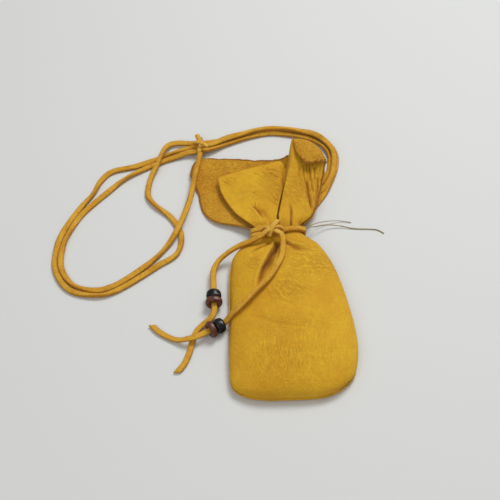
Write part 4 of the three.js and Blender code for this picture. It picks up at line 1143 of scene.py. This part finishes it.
def ring_finish():
    finish = Finish("dark_ring_wood")
    grain = finish.noise(300, 4, 0.6, finish.stretched((1.0, 0.16, 1.0)), 0.8)
    lines = (grain * 46.0).math("SINE") * 0.5 + 0.5
    pores = finish.noise(1300, 2, 0.6, finish.stretched((1.0, 0.2, 1.0)))
    base = finish.mix(lines, rgb(64, 26, 14), rgb(108, 50, 26))
    base = finish.mix(pores.between(0.58, 0.75) * 0.7, base, rgb(34, 12, 8))
    return finish.done(
        base, grain * 0.2 + 0.3, finish.bump(pores + lines * 0.3, 0.00008),
        Specular_IOR_Level=0.4, Coat_Weight=0.3, Coat_Roughness=0.2)


SINEW, BEAD, RING = sinew_finish(), bead_finish(), ring_finish()
print("finishes", len(bpy.data.materials))

# %% [markdown]
# ## Beads and rings
#
# The beads are moulded: short barrels with rounded ends and a wide hole. The rings are slices of a
# turned rod. Both are bodies of revolution, so a profile is drawn once and turned about the lace.

# %% Beads
SEGMENTS, ARC_STEPS = 72, 7


def turned(name, profile, centre, turn, finish):
    """A profile of (radius, height) pairs in mm turned about the lace, as a closed body."""
    count = len(profile)
    angle = np.arange(SEGMENTS) * 2 * np.pi / SEGMENTS
    radius, height = np.array(profile, float).T
    across = radius[None, :] * np.cos(angle)[:, None]
    up = radius[None, :] * np.sin(angle)[:, None]
    way = np.array([math.sin(-turn), math.cos(turn), 0.0])
    side = np.array([way[1], -way[0], 0.0])
    points = across[..., None] * side + up[..., None] * np.array([0, 0, 1.0])
    points = (points + height[None, :, None] * way + np.array(centre)).reshape(-1, 3)
    start = np.arange(SEGMENTS)[:, None] * count
    after, here = np.roll(start, -1, axis=0), np.arange(count)[None]
    beside = np.roll(here, -1)
    faces = np.stack([start + here, start + beside, after + beside, after + here], axis=-1)
    faces = faces.reshape(-1, 4).tolist()
    mesh = bpy.data.meshes.new(name)
    mesh.from_pydata((points * MM).tolist(), [], faces)
    mesh.polygons.foreach_set("use_smooth", np.ones(len(faces), bool))
    mesh.materials.append(finish)
    mesh.update()
    return placed(name, mesh)


def bead_profile(diameter, length, rounding, belly):
    """Outline of a bead: its hole, its rounded ends and its slightly bellied side."""
    outer, half, inner = diameter / 2 - belly, length / 2, BORE / 2
    outline = [(inner, half - 0.5), (inner, 0.5 - half), (inner + 0.15, 0.15 - half)]
    arc = [(outer - rounding * (1 - math.sin(a)), half - rounding * (1 - math.cos(a)))
           for a in np.linspace(0, np.pi / 2, ARC_STEPS)]
    outline += [(radius, -height) for radius, height in arc]
    for share in (-0.5, 0, 0.5):
        outline.append((outer + belly * (1 - 4 * share**2), share * (length - 2 * rounding)))
    return outline + arc[::-1] + [(inner + 0.15, half - 0.15)]


BORE, BEAD_STEP = 4.2, 5.15
RIGHT_TURN = math.radians(120)
LEFT_BEAD, RIGHT_BEAD = (-44.4, 16.2), (-41.9, -5.4)
for side, (x, y), turn, step in (
    ("left", LEFT_BEAD, 0.0, -BEAD_STEP), ("right", RIGHT_BEAD, RIGHT_TURN, BEAD_STEP),
):
    ring_x, ring_y = x - math.sin(turn) * step, y + math.cos(turn) * step
    black = turned(
        "black_bead_" + side + "_moulded", bead_profile(9, 6, 1.7, 0.25), (x, y, 4.65), turn, BEAD)
    ring = turned(
        "wood_ring_" + side + "_turned", bead_profile(10, 3.5, 1.1, 0.12), (ring_x, ring_y, 5.15),
        turn, RING)
    for piece, node, body, slot in (
        (black, "black_bead_" + side, "bead_" + side, "black_bead"),
        (ring, "wood_ring_" + side, "ring_" + side, "ring_wood"),
    ):
        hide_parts(node)
        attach(piece, body)
    print(side, "ring at", round(ring_x, 2), round(ring_y, 2))

# %% [markdown]
# ## Tie: the lace round the neck, and the knot
#
# The tie lace lies with its flat side on the gathered leather. It comes up at the left, crosses to
# the right under the knot, and comes round again to the knot, so two strands show at the left and
# one at the right. The path is an oval that climbs a little, and the knot is three short stretches
# pulled over each other, one of them a cut end that stands up.

# %% Wraps
WRAP_TOP, WRAP_BOTTOM, WRAP_LEAN = 14.1, 1.15, 0.4
WRAP_STEPS = 220


def wrap_point(t):
    """A place on the lace round the neck, from under the neck (0) to the knot (1)."""
    turn = -0.2 + 1.38 * t
    angle = turn * 2 * math.pi
    up, half = math.sin(angle), NECK_WIDTH / 2 * 1.06 + 1.3
    if up > 0:
        z = NECK_SEAM + (WRAP_TOP - NECK_SEAM) * up
    else:
        z = NECK_SEAM - (NECK_SEAM - WRAP_BOTTOM) * abs(up) ** 0.42
    climb = float(smooth_step(turn, 0.17, 0.37))
    y = NECK_Y - 1.8 + 3.9 * climb + WRAP_LEAN * (WRAP_TOP - max(z, NECK_SEAM))
    return NECK_CENTRE - half * math.cos(angle), y, z


wraps = np.array([wrap_point(k / WRAP_STEPS) for k in range(WRAP_STEPS + 1)])
thin = (wraps - np.array([NECK_CENTRE, 0, NECK_SEAM])) * np.array([0.16, 0, 1])
wide = unit(np.cross(np.gradient(wraps, axis=0), thin))
swell = 1 + 0.05 * np.sin(np.arange(WRAP_STEPS + 1) / 9)
tie_turns = sweep_lace("tie_turns", wraps, wide, swell, LACE, width=3.7, thickness=2.3, seed=5)
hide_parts("tie_wraps")
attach(tie_turns, "pouch")
print("tie turns", len(tie_turns.data.polygons), "faces")

# %% [markdown]
# A knot is short stretches of lace that go over and under each other. A stretch starts narrow where
# it comes out from under another, so the knot looks pulled tight, and they are joined into one
# piece because the real knot is one.

# %% Tie knot
def joined(name, pieces):
    """One object out of several, in the first one's place."""
    bpy.ops.object.select_all(action="DESELECT")
    for piece in pieces:
        piece.select_set(True)
    bpy.context.view_layer.objects.active = pieces[0]
    bpy.ops.object.join()
    pieces[0].name = pieces[0].data.name = name
    return pieces[0]


def knot_stretch(name, points, lean, width, thickness, seed, taper=0.5):
    """A short stretch of lace in a knot, its start drawn in where it comes from under the next."""
    path, _ = even_route(points, 0.5)
    s = np.linspace(0, 1, len(path))
    ends = 1 - taper * (1 - smooth_step(s, 0, 0.12))
    wide = strip_directions(path, np.radians(np.interp(s, (0, 0.5, 1), lean)))
    return sweep_lace(name, path, wide, ends, KNOT_LACE_PAINTED_HIGHLIGHT, width, thickness, seed, uneven=0.22)


TIE_KNOT = [
    ([(-14, 51.3, 16.9), (-11.2, 52.8, 18.2), (-7.8, 54.8, 18.8), (-4.6, 55.8, 18.1),
      (-2.2, 55.6, 16.2)], (0, 10, 30), 3.4, 2.3),
    ([(-2.6, 50.7, 17), (-4.8, 51.7, 17.9), (-8.4, 54, 17.7), (-11.6, 56.2, 17),
      (-13.2, 57, 15.2)], (0, -10, -30), 3.4, 2.3),
    ([(-10.4, 50.6, 15.9), (-9.4, 52.4, 18), (-8, 54.8, 19.7), (-6.2, 57.4, 19.5),
      (-4.6, 59.4, 19.2)], (20, 0, 15), 3.2, 2.2),
]
tie_knot = joined("tie_knot_pulled", [
    knot_stretch("tie_knot_%d" % k, points, lean, width, thickness, k)
    for k, (points, lean, width, thickness) in enumerate(TIE_KNOT)
])
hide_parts("tie_knot")
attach(tie_knot, "pouch")
print("tie knot", len(tie_knot.data.polygons), "faces")

# %% [markdown]
# The strap's knot is a turn of thinner lace round the three strands, with two cut ends on top. The
# turn is an oval, drawn out nearly to a rectangle because the strands lie side by side.

# %% Strap knot
STRAP_KNOT = [
    ([(-52.1, 144.2, 8), (-51.2, 141, 8.6), (-50.2, 137.4, 8.7), (-49.8, 133.6, 8)], (0, 20, 0)),
    ([(-54, 138.2, 7.4), (-51.4, 137, 9), (-48.6, 135.4, 9.2), (-45.4, 133.4, 8.4)], (10, 0, 20)),
]
STRAP_KNOT_PLACE = np.array([-50.5, 137.5, 4.1])


def squared(value):
    """Draws an oval's sine or cosine out, so that the oval is nearly a rectangle."""
    return np.sign(value) * np.abs(value) ** 0.62


# The turn starts and ends under the cut ends.
ring_angle = math.pi * (0.62 + 1.8 * np.arange(61) / 60)
ring_up = squared(np.sin(ring_angle))
from_middle = np.stack([
    0.6 * np.cos(ring_angle), 6.6 * squared(np.cos(ring_angle)),
    np.where(ring_up > 0, 3.1, 2.95) * ring_up,
], axis=1)
ring_path = STRAP_KNOT_PLACE + from_middle
ring_wide = unit(np.cross(np.gradient(ring_path, axis=0), from_middle * np.array([0, 1, 1])))
strap_turn = sweep_lace("strap_turn", ring_path, ring_wide, np.ones(61), KNOT_LACE_PAINTED_HIGHLIGHT, 2.6, 1.6, 3)
strap_knot = joined("strap_knot_pulled", [strap_turn] + [
    knot_stretch("strap_knot_%d" % k, points, lean, 3.0, 2.0, 7 + k, taper=0.2)
    for k, (points, lean) in enumerate(STRAP_KNOT)
])
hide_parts("strap_knot")
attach(strap_knot, "pouch")
print("strap knot", len(strap_knot.data.polygons), "faces")

# %% [markdown]
# ## The strap laces and the tie tails
#
# Two laces make the strap. The first runs from the knot near the mouth down over the loop, round it
# and back under the ear to the neck. The second leaves the neck, passes the knot, makes the loop
# and comes back. The tie lace's two tails come from the knot on the neck and carry the beads. Both
# are cut at a slant, and widen towards the cut.

# %% Strap and tails in place
def free_lace(name, node, points, seed, most=38, end_swell=1.0, slant=0.0):
    """A lace with its finish, in place of its solid."""
    path, wide, swell, length = lying_lace(points, seed, most, end_swell)
    piece = sweep_lace(name, path, wide, swell, LACE, seed=int(seed * 10))
    if slant:
        trim_end(piece, path, wide, swell, slant)
    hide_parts(node)
    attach(piece, "pouch")
    tuple(path[0] * MM)
    length * MM
    (path * MM).tolist()
    print(name, round(length, 1), "mm,", len(piece.data.polygons), "faces")


free_lace(
    "strap_lace_first", "strap_lace_tied", TIED_LACE[::-1], 1.3)
free_lace("strap_lace_second", "strap_lace_looped", LOOPED_LACE, 4.1)
free_lace(
    "tie_tail_left_lace", "tie_tail_left", LEFT_TAIL, 2.2, 25, 1.4, 0.7)
free_lace(
    "tie_tail_right_lace", "tie_tail_right", RIGHT_TAIL, 0.4, 25, 1.62, -0.75)

# %% [markdown]
# ## The thread's end
#
# The sewing is hidden inside the turned seam, and its waxed end lies on the table. It is too thin
# and stiff to lie flat all along, so it stands a little off the table between two touches. The
# sinew has split, and a ply of it leaves it near the seam and arches to the table beyond it.

# %% Thread
SINEW_PLY = [
    (12.4, 63.8, 7.6), (16.2, 66, 6.2), (20.1, 69, 4.6), (27.5, 72.2, 2.4), (34, 73.3, 1.0),
    (41.5, 72.2, 0.35),
]
# name, node, route, roll, width, thickness, seed, unevenness, diameter in metres
SINEWS = [
    ("seam_thread_end", "seam_thread", SEAM_THREAD, 9, 0.72, 0.5, 9, 0.04, 0.0007),
    ("seam_thread_ply", None, SINEW_PLY, 6, 0.5, 0.36, 4, 0.03, 0.0005),
]
for name, node, route, roll, width, thickness, seed, uneven, diameter in SINEWS:
    path, length = even_route(route, 0.5)
    wide = strip_directions(path, np.linspace(0, roll, len(path)))
    sinew = sweep_lace(
        name, path, wide, np.ones(len(path)), SINEW, width, thickness, seed, uneven)
    if node:
        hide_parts(node)
    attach(sinew, "pouch")
    print(name, round(length, 1), "mm")

# %% [markdown]
# ## Table and light
#
# The pouch lies on a pale plain surface in soft light from above and behind. Large lamps give soft
# shadows, and the world fills them. The lamps are weak enough that a colour shows as it was
# written.

# %% Table and lights
floor_mesh = bpy.data.meshes.new("table")
floor_mesh.from_pydata([(-3, -3, 0), (3, -3, 0), (3, 3, 0), (-3, 3, 0)], [], [(0, 1, 2, 3)])
floor = placed("table", floor_mesh)
pale = Finish("pale_table")
floor_mesh.materials.append(pale.done(rgb(216, 217, 215), 0.6, Specular_IOR_Level=0.2))
print("table 6 m wide")


def softbox(name, place, aim, size, power):
    """A large square lamp aimed at a point."""
    lamp = bpy.data.lights.new(name, "AREA")
    lamp.size, lamp.energy = size, power
    aimed(placed(name, lamp), place, aim)


softbox("key", (0.35, 0.55, 1.0), (-0.02, 0.05, 0), 0.5, 8.2)
softbox("fill", (-0.35, -0.65, 0.9), (-0.02, 0.05, 0), 0.8, 3.0)
world = bpy.data.worlds.new("studio")
bpy.context.scene.world = world
world.use_nodes = True
world.node_tree.nodes["Background"].inputs["Color"].default_value = (1, 1, 1, 1)
world.node_tree.nodes["Background"].inputs["Strength"].default_value = 0.36
bpy.context.scene.view_settings.view_transform = "Standard"
print("lamps", len(bpy.data.lights))
